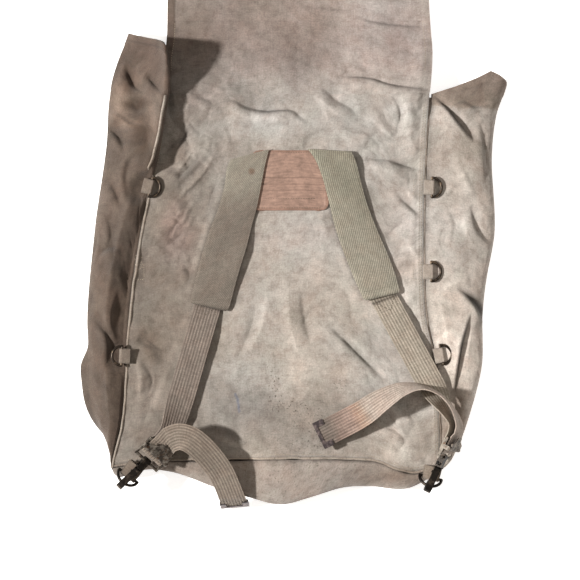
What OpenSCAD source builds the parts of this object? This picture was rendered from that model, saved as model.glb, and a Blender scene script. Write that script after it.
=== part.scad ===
// Canvas rucksack, empty and laid on its front with the flap thrown open.
// Frame: X to the right across the back, Y towards the flap, Z up. The origin is on the rest
// plane, under the middle of the back. Millimetres.

/* [Back panel] */
// Height of the back panel, bottom seam to flap fold
panel_h = 438; // [410:1:470]
// Width of the back panel at the flap fold
panel_top_w = 316; // [300:1:330]
// Width of the back panel at the bottom seam
panel_bottom_w = 392; // [375:1:410]
// Distance from the bottom seam up to the origin
origin_above_seam = 203; // [190:1:215]
// Height of the back panel over the rest plane at the bottom seam
loft_bottom = 36; // [32:1:44]
// Height of the back panel over the rest plane at the flap fold
loft_top = 30; // [26:1:36]
// Extra height in the middle of the back panel
crown = 9; // [4:1:14]
// Thickness of the canvas
canvas_t = 1.6; // [1.2:0.1:2]

/* [Gusset] */
// Width of the gusset strip between the back and front panels
gusset_w = 152; // [140:1:164]
// How far the left gusset reaches past the flap fold
left_rise = 76; // [60:1:85]
// How far the right gusset reaches past the flap fold
right_rise = 20; // [10:1:35]
// Height of the ridge along the left gusset
left_crest = 10; // [4:1:12]
// Extra height of that ridge at the gusset's mouth
left_peak = 24; // [0:1:30]
// Width of the raised seam welt
welt_w = 3; // [2.4:0.1:3.6]
// Height of the seam welt over the canvas
welt_rise = 1.2; // [0.8:0.1:1.6]

/* [Flap] */
// How far each edge of the flap lies inside the side seam
flap_inset = 3; // [2:0.5:10]
// Length of the flap from the fold to the crease
flap_top_l = 96; // [85:1:110]
// Length of the flap from the crease to its end
flap_front_l = 262; // [230:1:280]
// Distance from the flap's middle to each closure strap
closure_spread = 85; // [70:1:110]
// Width of the closure straps
closure_w = 25.4; // [20:0.1:30]
// Length of each closure strap sewn on the flap
closure_sewn_l = 70; // [50:1:90]
// Free length of each closure strap past the flap
closure_free_l = 90; // [60:1:120]

/* [Shoulder straps] */
// Width of the upper straps
pad_w = 50.8; // [44:0.1:54]
// Length of the upper straps
pad_l = 188; // [170:1:200]
// Thickness of the upper straps
pad_t = 2.4; // [1.8:0.1:3]
// Lean of the left upper strap from straight down, in degrees
left_pad_lean = 16; // [12:0.5:20]
// Lean of the right upper strap from straight down, in degrees
right_pad_lean = 20.5; // [17:0.5:24]
// Distance between the middles of the upper straps at the patch
pad_spread = 88; // [80:1:94]
// Width of the adjusting webbing
web_w = 31.8; // [28:0.1:33]
// Thickness of the webbing
web_t = 2; // [1.4:0.1:2.4]
// Width of the leather patch
patch_w = 92; // [86:1:110]
// Height of the leather patch
patch_h = 72; // [60:1:84]
// Thickness of the leather patch
patch_t = 1.8; // [1.2:0.1:2.4]
// Distance from the flap fold down to the patch
patch_drop = 68; // [60:1:80]

/* [Rings] */
// Inside width of the lashing rings
ring_in_w = 20; // [18:0.5:23]
// Wire diameter of the lashing rings
ring_wire = 3.2; // [2.8:0.1:3.8]
// Inside width of the corner rings
corner_in_w = 23; // [21:0.5:26]
// Wire diameter of the corner rings
corner_wire = 3.6; // [3:0.1:4]
// Height of the upper rings over the bottom seam
upper_ring_h = 326; // [310:1:345]
// Height of the right middle ring over the bottom seam
middle_ring_h = 225; // [210:1:245]
// Height of the lower rings over the bottom seam
lower_ring_h = 124; // [110:1:140]
// Length of the canvas tabs
tab_l = 10; // [8:0.5:12]
// Thickness of the tabs
tab_t = 1.2; // [0.8:0.1:1.6]

/* [Hooks and buckles] */
// Distance from the corner ring's wire to the hook's eye
hook_l = 38; // [36:0.5:42]
// Thickness of the hooks' stock
hook_wire = 4; // [3.4:0.1:4.4]
// Width of the hooks
hook_w = 8; // [5:0.5:8]
// Diameter of the buckle bars
bar_d = 3.6; // [3:0.1:4]
// Distance between the buckle's first and last bars
buckle_l = 24; // [22:0.5:28]
// Diameter of the lever pin
pin_d = 2.4; // [2:0.1:3]
// Thickness of the lever plate
lever_t = 1.6; // [1.2:0.1:2]
// Length of the strap's metal tips
tip_l = 13; // [10:0.5:16]

/* [Hidden] */
$fn = 48;

CANVAS = "tan";
WEBBING = "darkkhaki";
LEATHER = "rosybrown";
STEEL = "dimgray";

// Clearances: between soft pieces, and between a bar and the loop round it
fit = 0.3;
soft_gap = 0.6;
pin_clear = 0.05;

// Main levels
bottom_y = -origin_above_seam;
fold_y = bottom_y + panel_h;
seam_gap = (welt_w + canvas_t) / 2;
bottom_axis_x = -15;
top_axis_x = 10;

// How the seams of the empty bag stray from straight: [share of the height, sideways shift]
left_stray = [[0, 0], [0.13, 4], [0.42, -5.5], [0.65, -5], [0.85, 2], [1, 0]];
right_stray = [[0, 0], [0.24, -1.5], [0.4, -12.5], [0.55, -13], [0.8, -8], [1, 0]];
// Drop of the bottom seam: [share of the width, shift along Y]
bottom_drop = [[0, -8], [0.12, -1], [0.25, 0], [0.78, 0], [0.9, -15], [1, -8]];
// Reach of the folded gusset past its seam, in shares of half the gusset's width
left_reach = [[0, 0.06], [0.08, 0.27], [0.17, 0.47], [0.3, 0.63], [0.5, 0.71], [0.75, 0.83],
    [0.88, 0.84], [1, 0.57]];
right_reach = [[0, 0.08], [0.08, 0.33], [0.24, 0.66], [0.35, 0.82], [0.5, 0.98], [0.62, 1.1],
    [0.8, 1.03], [0.92, 1.06], [1, 1.2]];
bottom_reach = [[0, 0.06], [0.12, 0.18], [0.3, 0.4], [0.42, 0.6], [0.51, 0.71], [0.6, 0.6],
    [0.7, 0.44], [0.82, 0.37], [0.93, 0.17], [1, 0.06]];

// Number of stations along the soft sheets and across them
rows = 18;
columns = 16;
turns = 14;

function lerp(a, b, t) = a + (b - a) * t;
function clamp01(t) = min(1, max(0, t));
function ease(t) = let(c = clamp01(t)) c * c * (3 - 2 * c);
function unit(v) = v / norm(v);
// Smooth curve through a table of [key, value] rows
function knot(table, i) = table[min(len(table) - 1, max(0, i))];
function spline(table, key, i = 0) =
    i < len(table) - 2 && key > table[i + 1].x ? spline(table, key, i + 1) :
    let(p = knot(table, i), q = knot(table, i + 1), o = knot(table, i - 1), r = knot(table, i + 2),
        span = q.x - p.x, t = clamp01((key - p.x) / span),
        m = (q.y - o.y) / (q.x - o.x) * span, n = (r.y - p.y) / (r.x - p.x) * span)
    p.y * (1 + 2 * t) * (1 - t) * (1 - t) + m * t * (1 - t) * (1 - t)
    + q.y * t * t * (3 - 2 * t) + n * t * t * (t - 1);

// Seams of the back panel, by t, the share of its height
function left_x(t) = lerp(bottom_axis_x - panel_bottom_w / 2, top_axis_x - panel_top_w / 2, t)
    + spline(left_stray, t);
function right_x(t) = lerp(bottom_axis_x + panel_bottom_w / 2, top_axis_x + panel_top_w / 2, t)
    + spline(right_stray, t);
function seam_z(t) = lerp(loft_bottom, loft_top, clamp01(t));
function drop_y(u, t) = spline(bottom_drop, u) * pow(1 - t, 4);
// Middle surface of the back panel: u is the share of the width, t of the height
function panel_lift(u, t) = seam_z(t)
    + crown * sin(180 * clamp01(u)) * pow(max(0, sin(180 * clamp01(t))), 0.6);
function panel_z(x, y) =
    let(t = clamp01((y - bottom_y) / panel_h), u = (x - left_x(t)) / (right_x(t) - left_x(t)))
    panel_lift(u, t);

// Closed solid through rings of points; each ring is a top row followed by a bottom row backwards
module skin(rings) {
    m = len(rings[0]);
    k = len(rings);
    half = m / 2;
    last = (k - 1) * m;
    sides = [for (i = [0:k - 2], j = [0:m - 1])
        let(a = i * m + j, b = i * m + (j + 1) % m) each [[a, a + m, b], [b, a + m, b + m]]];
    caps = [for (j = [0:half - 2]) let(a = j, b = j + 1, c = m - 2 - j, d = m - 1 - j)
        each [[a, b, c], [a, c, d], [last + a, last + c, last + b], [last + a, last + d, last + c]]];
    polyhedron(points = [for (r = rings) each r], faces = concat(sides, caps), convexity = 8);
}

function ring_of(top, bottom) = concat(top, [for (i = [len(bottom) - 1:-1:0]) bottom[i]]);
// Ring of a sheet from a line of points and the direction of its thickness at each
function sheet_ring(line, normals, t) = ring_of(
    [for (i = [0:len(line) - 1]) line[i] + normals[i] * t / 2],
    [for (i = [0:len(line) - 1]) line[i] - normals[i] * t / 2]);

// Local frame on a hook: origin, width, length and face directions
function strap_frame(from, to, roll) =
    let(a = unit(to - from), h = unit(cross(a, [0, 0, 1])), up = cross(h, a))
    [from, h * cos(roll) - up * sin(roll), a, up * cos(roll) + h * sin(roll)];
function at(f, p) = f[0] + f[1] * p.x + f[2] * p.y + f[3] * p.z;
module on(f) multmatrix([for (i = [0:2]) [f[1][i], f[2][i], f[3][i], f[0][i]]]) children();

module back_panel() {
    rings = [for (i = [0:rows]) let(t = i / rows) let(
        line = [for (j = [0:columns]) let(u = j / columns) [
            lerp(left_x(t) + seam_gap, right_x(t) - seam_gap, u),
            bottom_y + (i == 0 ? seam_gap : 0) + t * (panel_h - canvas_t / 2 - fit) + drop_y(u, t),
            panel_lift(u, t)]])
        sheet_ring(line, [for (p = line) [0, 0, 1]], canvas_t)];
    color(CANVAS) skin(rings);
}

// Section of a gusset folded outwards: v runs from the back seam round the fold to the front seam
function fold_out(v) = sin(180 * v);
function fold_z(v, top, crest) = let(low = canvas_t / 2)
    (top + low) / 2 + (top - low) / 2 * cos(180 * v) + crest * max(0, sin(360 * v));
function fold_normals(line) = [for (i = [0:len(line) - 1]) let(
    d = line[min(i + 1, len(line) - 1)] - line[max(i - 1, 0)]) d];

// Side gusset; side is -1 on the left and 1 on the right. A low fullness squares its mouth off.
module side_gusset(side, reach, rise, fullness, crest, peak) {
    rings = [for (i = [0:rows]) let(s = i / rows) let(
        line = [for (j = [0:turns]) let(v = j / turns,
            mouth_y = fold_y - 4 + rise * pow(max(0, fold_out(v)), fullness),
            y = lerp(bottom_y + spline(bottom_drop, side < 0 ? 0 : 1), mouth_y, s),
            t = clamp01((y - bottom_y) / panel_h),
            seam = side < 0 ? left_x(t) : right_x(t),
            ridge = crest * sin(180 * min(1, 0.15 + 0.75 * s)) + peak * ease((s - 0.7) / 0.3))
            [seam + side * (seam_gap + spline(reach, s) * gusset_w / 2 * fold_out(v)), y,
                fold_z(v, seam_z(t), ridge)]],
        ways = fold_normals(line))
        sheet_ring(line, [for (d = ways) side * unit([d.z, 0, -d.x]) * -1], canvas_t)];
    color(CANVAS) skin(side < 0 ? rings : [for (i = [rows:-1:0]) rings[i]]);
}

module left_gusset() side_gusset(-1, left_reach, left_rise, 0.35, left_crest, left_peak);
module right_gusset() side_gusset(1, right_reach, right_rise, 1, 0, 0);

module bottom_gusset() {
    x0 = left_x(0);
    x1 = right_x(0);
    rings = [for (i = [0:rows]) let(u = i / rows, x = lerp(x0, x1, u)) let(
        line = [for (j = [0:turns]) let(v = j / turns)
            [x, bottom_y + spline(bottom_drop, u) - (i == 0 || i == rows ? 2 : 1) * seam_gap
                - spline(bottom_reach, u) * gusset_w / 2 * fold_out(v), fold_z(v, seam_z(0), 0)]],
        ways = fold_normals(line))
        sheet_ring(line, [for (d = ways) unit([0, -d.z, d.y])], canvas_t)];
    color(CANVAS) skin(rings);
}

// Outline of the front panel: up the left gusset's edge, down the right one's, back along the bottom one's
function front_edge(side, s) = let(y = lerp(bottom_y + spline(bottom_drop, side < 0 ? 0 : 1), fold_y - 4, s),
    t = clamp01((y - bottom_y) / panel_h)) [(side < 0 ? left_x(t) : right_x(t)) + side * (seam_gap - fit), y];
front_outline = concat([for (i = [0:rows]) front_edge(-1, i / rows)],
    [for (i = [rows:-1:0]) front_edge(1, i / rows)],
    [for (i = [rows:-1:0]) let(u = i / rows)
        [lerp(left_x(0), right_x(0), u), bottom_y + spline(bottom_drop, u) - seam_gap + fit]]);

// Place of the front buckles on the front panel
front_buckle_up = 150;
front_buckle_y = bottom_y + front_buckle_up;
pocket_w = closure_w + 26;
pocket_l = 62;
pocket_h = 8;
function closure_x(side) = top_axis_x + side * closure_spread;

module rounded_square(w, l, r) {
    square([w - 2 * r, l], center = true);
    square([w, l - 2 * r], center = true);
    for (x = [-1, 1], y = [-1, 1]) translate([x * (w / 2 - r), y * (l / 2 - r)]) circle(r);
}

module front_panel() {
    color(CANVAS) difference() {
        union() {
            linear_extrude(canvas_t) polygon(front_outline);
            for (side = [-1, 1]) translate([closure_x(side), front_buckle_y, 0])
                linear_extrude(pocket_h) rounded_square(pocket_w, pocket_l, 8);
        }
        for (side = [-1, 1]) translate([closure_x(side), front_buckle_y, -1])
            linear_extrude(pocket_h - canvas_t + 1)
                rounded_square(pocket_w - 2 * canvas_t, pocket_l - 2 * canvas_t, 8 - canvas_t);
    }
}

// Raised welt along a seam
module welt(points, across) {
    low = -canvas_t / 2;
    high = canvas_t / 2 + welt_rise;
    rings = [for (p = points) [
        p - across * welt_w / 2 + [0, 0, high], p + across * welt_w / 2 + [0, 0, high],
        p + across * welt_w / 2 + [0, 0, low], p - across * welt_w / 2 + [0, 0, low]]];
    color(CANVAS) skin(rings);
}

module side_welt(side) {
    top = 1 - 4 / panel_h;
    welt([for (i = [0:rows]) let(t = lerp(0.03, top, i / rows))
        [side < 0 ? left_x(t) : right_x(t), bottom_y + t * panel_h, seam_z(t)]], [1, 0, 0]);
}

module bottom_welt() {
    welt([for (i = [0:rows]) let(u = i / rows)
        [lerp(left_x(0) + seam_gap, right_x(0) - seam_gap, u), bottom_y + spline(bottom_drop, u),
            seam_z(0)]], [0, -1, 0]);
}

// Leather patch that takes the upper ends of the straps
patch_top_y = fold_y - patch_drop;
patch_mid_x = 0;
patch_z = canvas_t / 2 + fit + patch_t / 2;
module strap_patch() {
    steps = 6;
    rings = [for (i = [0:steps]) let(y = patch_top_y - patch_h + i / steps * patch_h) let(
        round_in = i == 0 ? 7 : 0,
        line = [for (j = [0:steps]) let(x = patch_mid_x + (j / steps - 0.5) * (patch_w - 2 * round_in))
            [x, y, panel_z(x, y) + patch_z]])
        sheet_ring(line, [for (p = line) [0, 0, 1]], patch_t)];
    color(LEATHER) skin(rings);
}

// Upper strap: draped on the back panel from the patch downwards
pad_top_z = canvas_t / 2 + fit + patch_t + soft_gap + pad_t / 2;
pad_end_z = canvas_t / 2 + soft_gap + web_t + soft_gap + pad_t / 2;
pad_top_inset = 3;
function pad_lean(side) = side < 0 ? left_pad_lean : right_pad_lean;
function pad_way(side) = [side * sin(pad_lean(side)), -cos(pad_lean(side)), 0];
function pad_cross(side) = [cos(pad_lean(side)), side * sin(pad_lean(side)), 0];
function pad_top(side) = [patch_mid_x + side * pad_spread / 2, patch_top_y - pad_top_inset, 0];
function pad_point(side, l, c) = pad_top(side) + pad_way(side) * l + pad_cross(side) * c;
function on_panel(p, h) = [p.x, p.y, panel_z(p.x, p.y) + h];
module strap_pad(side) {
    steps = 14;
    rings = [for (i = [0:steps]) let(s = i / steps, h = lerp(pad_top_z, pad_end_z, ease(s))) let(
        line = [for (j = [-1:1]) on_panel(pad_point(side, pad_l * s, j * pad_w / 2), h)])
        sheet_ring(line, [for (p = line) [0, 0, 1]], pad_t)];
    color(WEBBING) skin([for (i = [steps:-1:0]) rings[i]]);
}

// Lashing rings: [side of the bag, height over the bottom seam, way the ring lies, shift of the tab's
// root from the seam that way, lift of the root, slope of the tab and ring in degrees]
bar_r = bar_d / 2;
ring_r = ring_in_w / 2 + ring_wire / 2;
tab_wrap = ring_wire / 2 + fit;
tab_bottom = tab_wrap + tab_t;
function seam_point(side, h) = let(t = h / panel_h)
    [side < 0 ? left_x(t) : right_x(t), bottom_y + h, seam_z(t)];
function seam_angle(side, h) = let(d = seam_point(side, h + 12) - seam_point(side, h - 12))
    atan2(d.y, d.x) - 90;
module at_ring(p)
    translate(seam_point(p[0], p[1]) + [0, 0, canvas_t / 2 + welt_rise + fit + p[4]])
        rotate([0, 0, seam_angle(p[0], p[1])]) mirror([p[2] < 0 ? 1 : 0, 0, 0]) rotate([0, -p[5], 0])
            translate([p[3] + tab_l - tab_bottom, 0, tab_bottom]) children();

// D-shaped ring: a straight bar on Y and a half circle towards +X
module d_ring(r, wire) {
    color(STEEL) union() {
        rotate([0, 0, -90]) rotate_extrude(angle = 180) translate([r, 0]) circle(d = wire);
        rotate([90, 0, 0]) cylinder(h = 2 * r, d = wire, center = true);
        for (y = [-r, r]) translate([0, y, 0]) sphere(d = wire);
    }
}

// Canvas tab: a loop round the bar with both ends towards -X
module tab_loop(width, length, wrap) {
    outer = wrap + tab_t;
    color(CANVAS) rotate([90, 0, 0]) linear_extrude(width, center = true) difference() {
        union() {
            circle(outer);
            translate([-length + outer, -outer]) square([length - outer, 2 * outer]);
        }
        circle(wrap);
        translate([-length, -wrap]) square([length, 2 * wrap]);
    }
}

tab_w = ring_in_w - 2;
left_upper = [-1, upper_ring_h, 1, -8.5, 0.1, -8];
left_lower = [-1, lower_ring_h, -1, 1, 0.5, 14];
right_upper = [1, upper_ring_h, 1, 1, 0, -6];
right_middle = [1, middle_ring_h, 1, 1, 0, -6];
right_lower = [1, lower_ring_h, 1, 1, 0, -6];
module lash_ring(p) at_ring(p) d_ring(ring_r, ring_wire);
module lash_tab(p) at_ring(p) tab_loop(tab_w, tab_l, tab_wrap);

// Corner rings: middle of the bar, angle of the bar in plan, and length of the tab
corner_r = corner_in_w / 2 + corner_wire / 2;
corner_wrap = corner_wire / 2 + fit;
corner_z = loft_bottom + canvas_t / 2 + welt_rise + fit + corner_wrap + tab_t;
corner_tilt = 45;
left_corner = [left_x(0) + 18, bottom_y - 19, corner_z];
right_corner = [right_x(0) - 13, bottom_y - 21, corner_z];
left_corner_turn = -37;
right_corner_turn = -14;
left_corner_tab_l = 20;
right_corner_tab_l = 17;
function corner_out(turn) = [sin(turn), -cos(turn), 0];
// Where the hook holds the ring
function corner_grip(bar, turn) = bar + corner_r
    * (corner_out(turn) * cos(corner_tilt) + [0, 0, sin(corner_tilt)]);
module corner_ring(bar, turn)
    translate(bar) rotate([0, 0, turn - 90]) rotate([0, -corner_tilt, 0]) d_ring(corner_r, corner_wire);
module corner_tab(bar, turn, length)
    translate(bar) rotate([0, 0, turn - 90]) tab_loop(corner_in_w - 2, length, corner_wrap);

// Hook and buckle frames: from the ring towards the buckle, where the buckle rolls with the webbing
left_grip = corner_grip(left_corner, left_corner_turn);
right_grip = corner_grip(right_corner, right_corner_turn);
left_to = [34.5, 32.4, 2];
right_to = [22, 46, 3];
left_roll = 24;
right_roll = 66;
left_hook_frame = strap_frame(left_grip, left_grip + left_to, 0);
right_hook_frame = strap_frame(right_grip, right_grip + right_to, 0);
left_frame = strap_frame(left_grip, left_grip + left_to, left_roll);
right_frame = strap_frame(right_grip, right_grip + right_to, right_roll);
function frame_of(side) = side < 0 ? left_frame : right_frame;

hook_r = hook_wire / 2;
hook_bend = corner_wire / 2 + 2.2 + hook_r;
// The hook turns in its eye on a headed stud: where the stud starts, and its sizes
neck_y = hook_l - 16;
neck_r = 3.2;
stud_r = 1.8;
stud_l = 8.8;
head_r = 2.7;
head_t = 1.6;
swivel_w = 9;
// Angle at which the straight shank leaves the bend
bend_from = acos(hook_bend / neck_y);
eye_bore = bar_r + fit;
eye_r = eye_bore + 2.2;
gate_y = neck_y - 5;
gate_z = -3;
gate_knuckle = 1.7;
gate_w = 5;
rivet_r = 0.8;
lug_t = 1.2;
nose_angle = -60;
// The nose ends in a bead a little thicker than the stock
nose_r = hook_r + 0.25;
function round_at(r, angle) = r * [cos(angle), sin(angle)];
// Side view of the hook: bend round the ring, straight shank and neck
module hook_profile() {
    side = round_at(hook_r - 0.2, bend_from);
    way = [sin(bend_from), -cos(bend_from)];
    from = round_at(hook_bend, bend_from) - 1.2 * way;
    neck = [neck_y, 0];
    difference() {
        circle(hook_bend + hook_r);
        circle(hook_bend - hook_r);
        polygon([[0, 0], for (a = [nose_angle, 0, bend_from]) round_at(3 * hook_bend, a)]);
    }
    translate(round_at(hook_bend, nose_angle)) circle(nose_r);
    polygon([from - side, from + side, neck + side, neck - side]);
    translate(neck) circle(neck_r);
}
module hook() {
    cheek_z = (neck_y - gate_y) / tan(bend_from);
    color(STEEL) difference() {
        union() {
            rotate([90, 0, 90]) linear_extrude(hook_w, center = true) hook_profile();
            translate([0, neck_y, 0]) rotate([-90, 0, 0]) cylinder(h = stud_l, r = stud_r);
            translate([0, neck_y + stud_l - head_t, 0]) rotate([-90, 0, 0]) cylinder(h = head_t, r = head_r);
            for (x = [-1, 1]) translate([x * (gate_w / 2 + fit + lug_t / 2), gate_y, gate_z])
                hook_lug(cheek_z - gate_z);
        }
        translate([0, gate_y, gate_z]) rotate([0, 90, 0])
            cylinder(h = 20, r = rivet_r + pin_clear, center = true);
    }
}
// Swivel eye: a yoke on the hook's stud, open at the sides, with the eye for the buckle's bar
module hook_swivel() {
    from = neck_y + neck_r + 0.6;
    window = 4.5;
    color(STEEL) difference() {
        union() {
            translate([-swivel_w / 2, from, -eye_r + 0.4]) cube([swivel_w, hook_l - from, 2 * eye_r - 0.8]);
            translate([0, hook_l, 0]) rotate([0, 90, 0]) cylinder(h = swivel_w, r = eye_r, center = true);
        }
        translate([0, from - 1, 0]) rotate([-90, 0, 0]) cylinder(h = window, r = stud_r + pin_clear);
        translate([0, neck_y + stud_l - head_t / 2, 0])
            cube([2 * swivel_w, window, 2 * head_r + 2 * fit], center = true);
        translate([0, hook_l, 0]) rotate([0, 90, 0]) cylinder(h = swivel_w + 2, r = eye_bore, center = true);
    }
}
module hook_lug(height) {
    rotate([0, 90, 0]) cylinder(h = lug_t, r = gate_knuckle, center = true);
    translate([-lug_t / 2, -gate_knuckle, 0]) cube([lug_t, 2 * gate_knuckle, height]);
}
// Sprung leaf that closes the hook, from its rivet to the nose
module hook_gate() {
    end_y = hook_bend * cos(nose_angle) + nose_r + 0.2;
    end_z = -hook_bend + nose_r + fit + 0.6;
    reach = norm([gate_y - end_y, gate_z - end_z]);
    lean = atan2(end_z - gate_z, gate_y - end_y);
    color(STEEL) translate([0, gate_y, gate_z]) rotate([90, 0, 90]) linear_extrude(gate_w, center = true)
        difference() {
            union() {
                circle(gate_knuckle);
                rotate(-lean) translate([-reach, -0.5]) square([reach, 1]);
            }
            circle(rivet_r + pin_clear);
        }
}
module gate_rivet() {
    length = gate_w + 2 * fit + 2 * lug_t;
    color(STEEL) translate([0, gate_y, gate_z]) rotate([0, 90, 0]) union() {
        cylinder(h = length + 0.4, r = rivet_r, center = true);
        for (z = [-1, 1]) translate([0, 0, z * (length / 2 + 0.5)])
            cylinder(h = 0.6, r = rivet_r + 0.6, center = true);
    }
}

// Buckle: three bars between two side rails, with ears for the lever's pin
buckle_in_w = web_w + 1.6;
rail_t = 2.4;
middle_y = 10;
run_z = -(bar_r + fit + web_t / 2);
tail_z = -run_z;
pin_r = pin_d / 2;
knuckle_r = pin_r + 1.4;
pin_y = middle_y + 4;
pin_z = tail_z + web_t / 2 + fit + knuckle_r;
module buckle_frame() {
    color(STEEL) translate([0, hook_l, 0]) difference() {
        union() {
            for (y = [0, middle_y, buckle_l]) translate([0, y, 0]) rotate([0, 90, 0])
                cylinder(h = buckle_in_w + rail_t, r = bar_r, center = true);
            for (x = [-1, 1]) translate([x * (buckle_in_w + rail_t) / 2, 0, 0]) buckle_rail();
        }
        translate([0, pin_y, pin_z]) rotate([0, 90, 0])
            cylinder(h = 2 * buckle_in_w, r = pin_r + 0.02, center = true);
    }
}
module buckle_rail() {
    ear = knuckle_r;
    rotate([90, 0, 90]) linear_extrude(rail_t, center = true) {
        for (y = [0, buckle_l]) translate([y, 0]) circle(bar_r);
        translate([0, -bar_r]) square([buckle_l, bar_d]);
        translate([pin_y, pin_z]) circle(ear);
        translate([pin_y - ear, 0]) square([2 * ear, pin_z]);
    }
}
module buckle_pin() {
    color(STEEL) translate([0, hook_l + pin_y, pin_z]) rotate([0, 90, 0])
        cylinder(h = buckle_in_w + 2 * rail_t + 1.2, r = pin_r, center = true);
}
// Lever: a knuckle on the pin, a plate with gripping teeth and a narrow thumb piece
lever_l = 11;
thumb_l = 5;
teeth = 5;
module buckle_lever() {
    w = buckle_in_w - 2 * fit;
    color(STEEL) translate([0, hook_l + pin_y, pin_z]) difference() {
        union() {
            rotate([0, 90, 0]) cylinder(h = w, r = knuckle_r, center = true);
            translate([0, 0, knuckle_r - lever_t]) linear_extrude(lever_t) lever_plan(w);
            for (i = [0:teeth - 1]) translate([(i - (teeth - 1) / 2) * w / teeth, lever_l * 0.45, 0])
                translate([-w / teeth / 4, 0, knuckle_r - lever_t - 0.8]) cube([w / teeth / 2, 2, 1]);
        }
        rotate([0, 90, 0]) cylinder(h = w + 1, r = pin_r + pin_clear, center = true);
    }
}
module lever_plan(w) polygon([[-w / 2, 0], [w / 2, 0], [w / 2, lever_l * 0.6], [w / 5, lever_l],
    [w / 7, lever_l + thumb_l], [-w / 7, lever_l + thumb_l], [-w / 5, lever_l], [-w / 2, lever_l * 0.6]]);

// Adjusting webbing from under the upper strap to the buckle's middle bar, turning onto its edge
web_lap = 14;
web_steps = 16;
web_side_shift = 1.5;
function web_run_end(f) = at(f, [0, hook_l + middle_y, run_z]);
function web_line(side, s) = let(f = frame_of(side),
    from = pad_point(side, pad_l - web_lap, side * web_side_shift),
    to = at(f, [0, hook_l + buckle_l + 14, run_z]))
    lerp(on_panel(from, 0), to, s);
function web_across(side, s) = unit(lerp(pad_cross(side), frame_of(side)[1], ease(s * 2.5 - 1.5)));
function web_centre(side, s) = let(p = web_line(side, s),
    low = panel_z(p.x, p.y) + canvas_t / 2 + soft_gap + web_t / 2,
    lifted = low + welt_rise * ease(3 * s) + abs(web_across(side, s).z) * web_w / 2)
    [p.x, p.y, max(lifted, lerp(low, p.z, ease(s * 1.15 - 0.15)))];
function web_ring(side, s) = let(c = web_centre(side, s), w = web_across(side, s),
    flat = [for (k = [-1, 1]) on_panel(c + w * k * web_w / 2, canvas_t / 2 + soft_gap + web_t / 2)],
    rolled = [for (k = [-1, 1]) c + w * k * web_w / 2],
    line = [for (i = [0:1]) lerp(flat[i], rolled[i], ease(s * 2.2))],
    n = unit(cross(line[1] - line[0], web_line(side, 0) - web_line(side, 1))))
    sheet_ring(line, [n, n], web_t);
module strap_web(side) {
    f = frame_of(side);
    ends = [for (y = [hook_l + buckle_l + 6, hook_l + middle_y + fit])
        sheet_ring([for (k = [-1, 1]) at(f, [k * web_w / 2, y, run_z])], [f[3], f[3]], web_t)];
    rings = concat([for (i = [0:web_steps]) web_ring(side, i / web_steps)], ends);
    color(WEBBING) skin([for (i = [len(rings) - 1:-1:0]) rings[i]]);
}

// Free tail: round the middle bar, out of the buckle, then along chosen points from the exit
// as [along X, along Y, along Z, roll in degrees]
left_tail_route = [[7, 8, 10, 14], [19, 12, 18, 8], [33, 8, 22, 4], [46, -3, 19, 4], [58, -17, 11, 8],
    [68, -32, 1, 14], [75, -48, -10, 16], [80, -62.5, -22, 14], [82, -69.5, -34, 10]];
right_tail_route = [[3.5, 7, 2, 68], [3.5, 16, 5, 72], [-1, 28, 9, 78], [-9, 41, 13, 84], [-22, 53, 16, 86],
    [-41, 60, 16, 82], [-64, 57, 12, 62], [-88, 44, 6, 38], [-114, 26, -2, 14], [-150, 7, -7, 4]];
exit_y = hook_l + buckle_l + 4;
function tail_route(side) = let(f = frame_of(side), o = at(f, [0, exit_y, tail_z]))
    [for (p = side < 0 ? left_tail_route : right_tail_route) [o.x + p.x, o.y + p.y, o.z + p.z, p[3]]];
function xyz(p) = [p.x, p.y, p.z];
function tail_frame(route, i) = let(
    d = unit(xyz(route[min(i + 1, len(route) - 1)]) - xyz(route[max(i - 1, 0)])),
    f = strap_frame([0, 0, 0], d, route[i][3])) f;
// Points between two route points, on a smooth curve
function between(route, i, t) = let(n = len(route), p = route[i], q = route[min(i + 1, n - 1)],
    o = route[max(i - 1, 0)], r = route[min(i + 2, n - 1)])
    0.5 * (2 * p + (q - o) * t + (2 * o - 5 * p + 4 * q - r) * t * t + (3 * p - o - 3 * q + r) * t * t * t);
function tail_points(side) = let(route = tail_route(side), n = len(route))
    concat([for (i = [0:n - 2], k = [0:2]) between(route, i, k / 3)], [route[n - 1]]);
function tail_ring(points, i) = let(f = tail_frame(points, i), c = xyz(points[i]))
    sheet_ring([for (k = [-1, 1]) c + f[1] * k * web_w / 2], [f[3], f[3]], web_t);
module strap_tail(side) {
    f = frame_of(side);
    mid_r = bar_r + fit + web_t / 2;
    wrap = [for (k = [0:6]) let(a = -90 - 30 * k) sheet_ring(
        [for (x = [-1, 1]) at(f, [x * web_w / 2, hook_l + middle_y + mid_r * cos(a), mid_r * sin(a)])],
        [for (x = [-1, 1]) -(f[2] * cos(a) + f[3] * sin(a)) * -1], web_t)];
    out = [for (y = [hook_l + middle_y + 3, exit_y])
        sheet_ring([for (x = [-1, 1]) at(f, [x * web_w / 2, y, tail_z])], [f[3], f[3]], web_t)];
    points = tail_points(side);
    free = [for (i = [0:len(points) - 1]) tail_ring(points, i)];
    straight = [for (p = free[len(free) - 1]) p + tail_frame(points, len(points) - 1)[2] * tip_l];
    color(WEBBING) skin(concat(wrap, out, free, [straight]));
}

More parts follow.
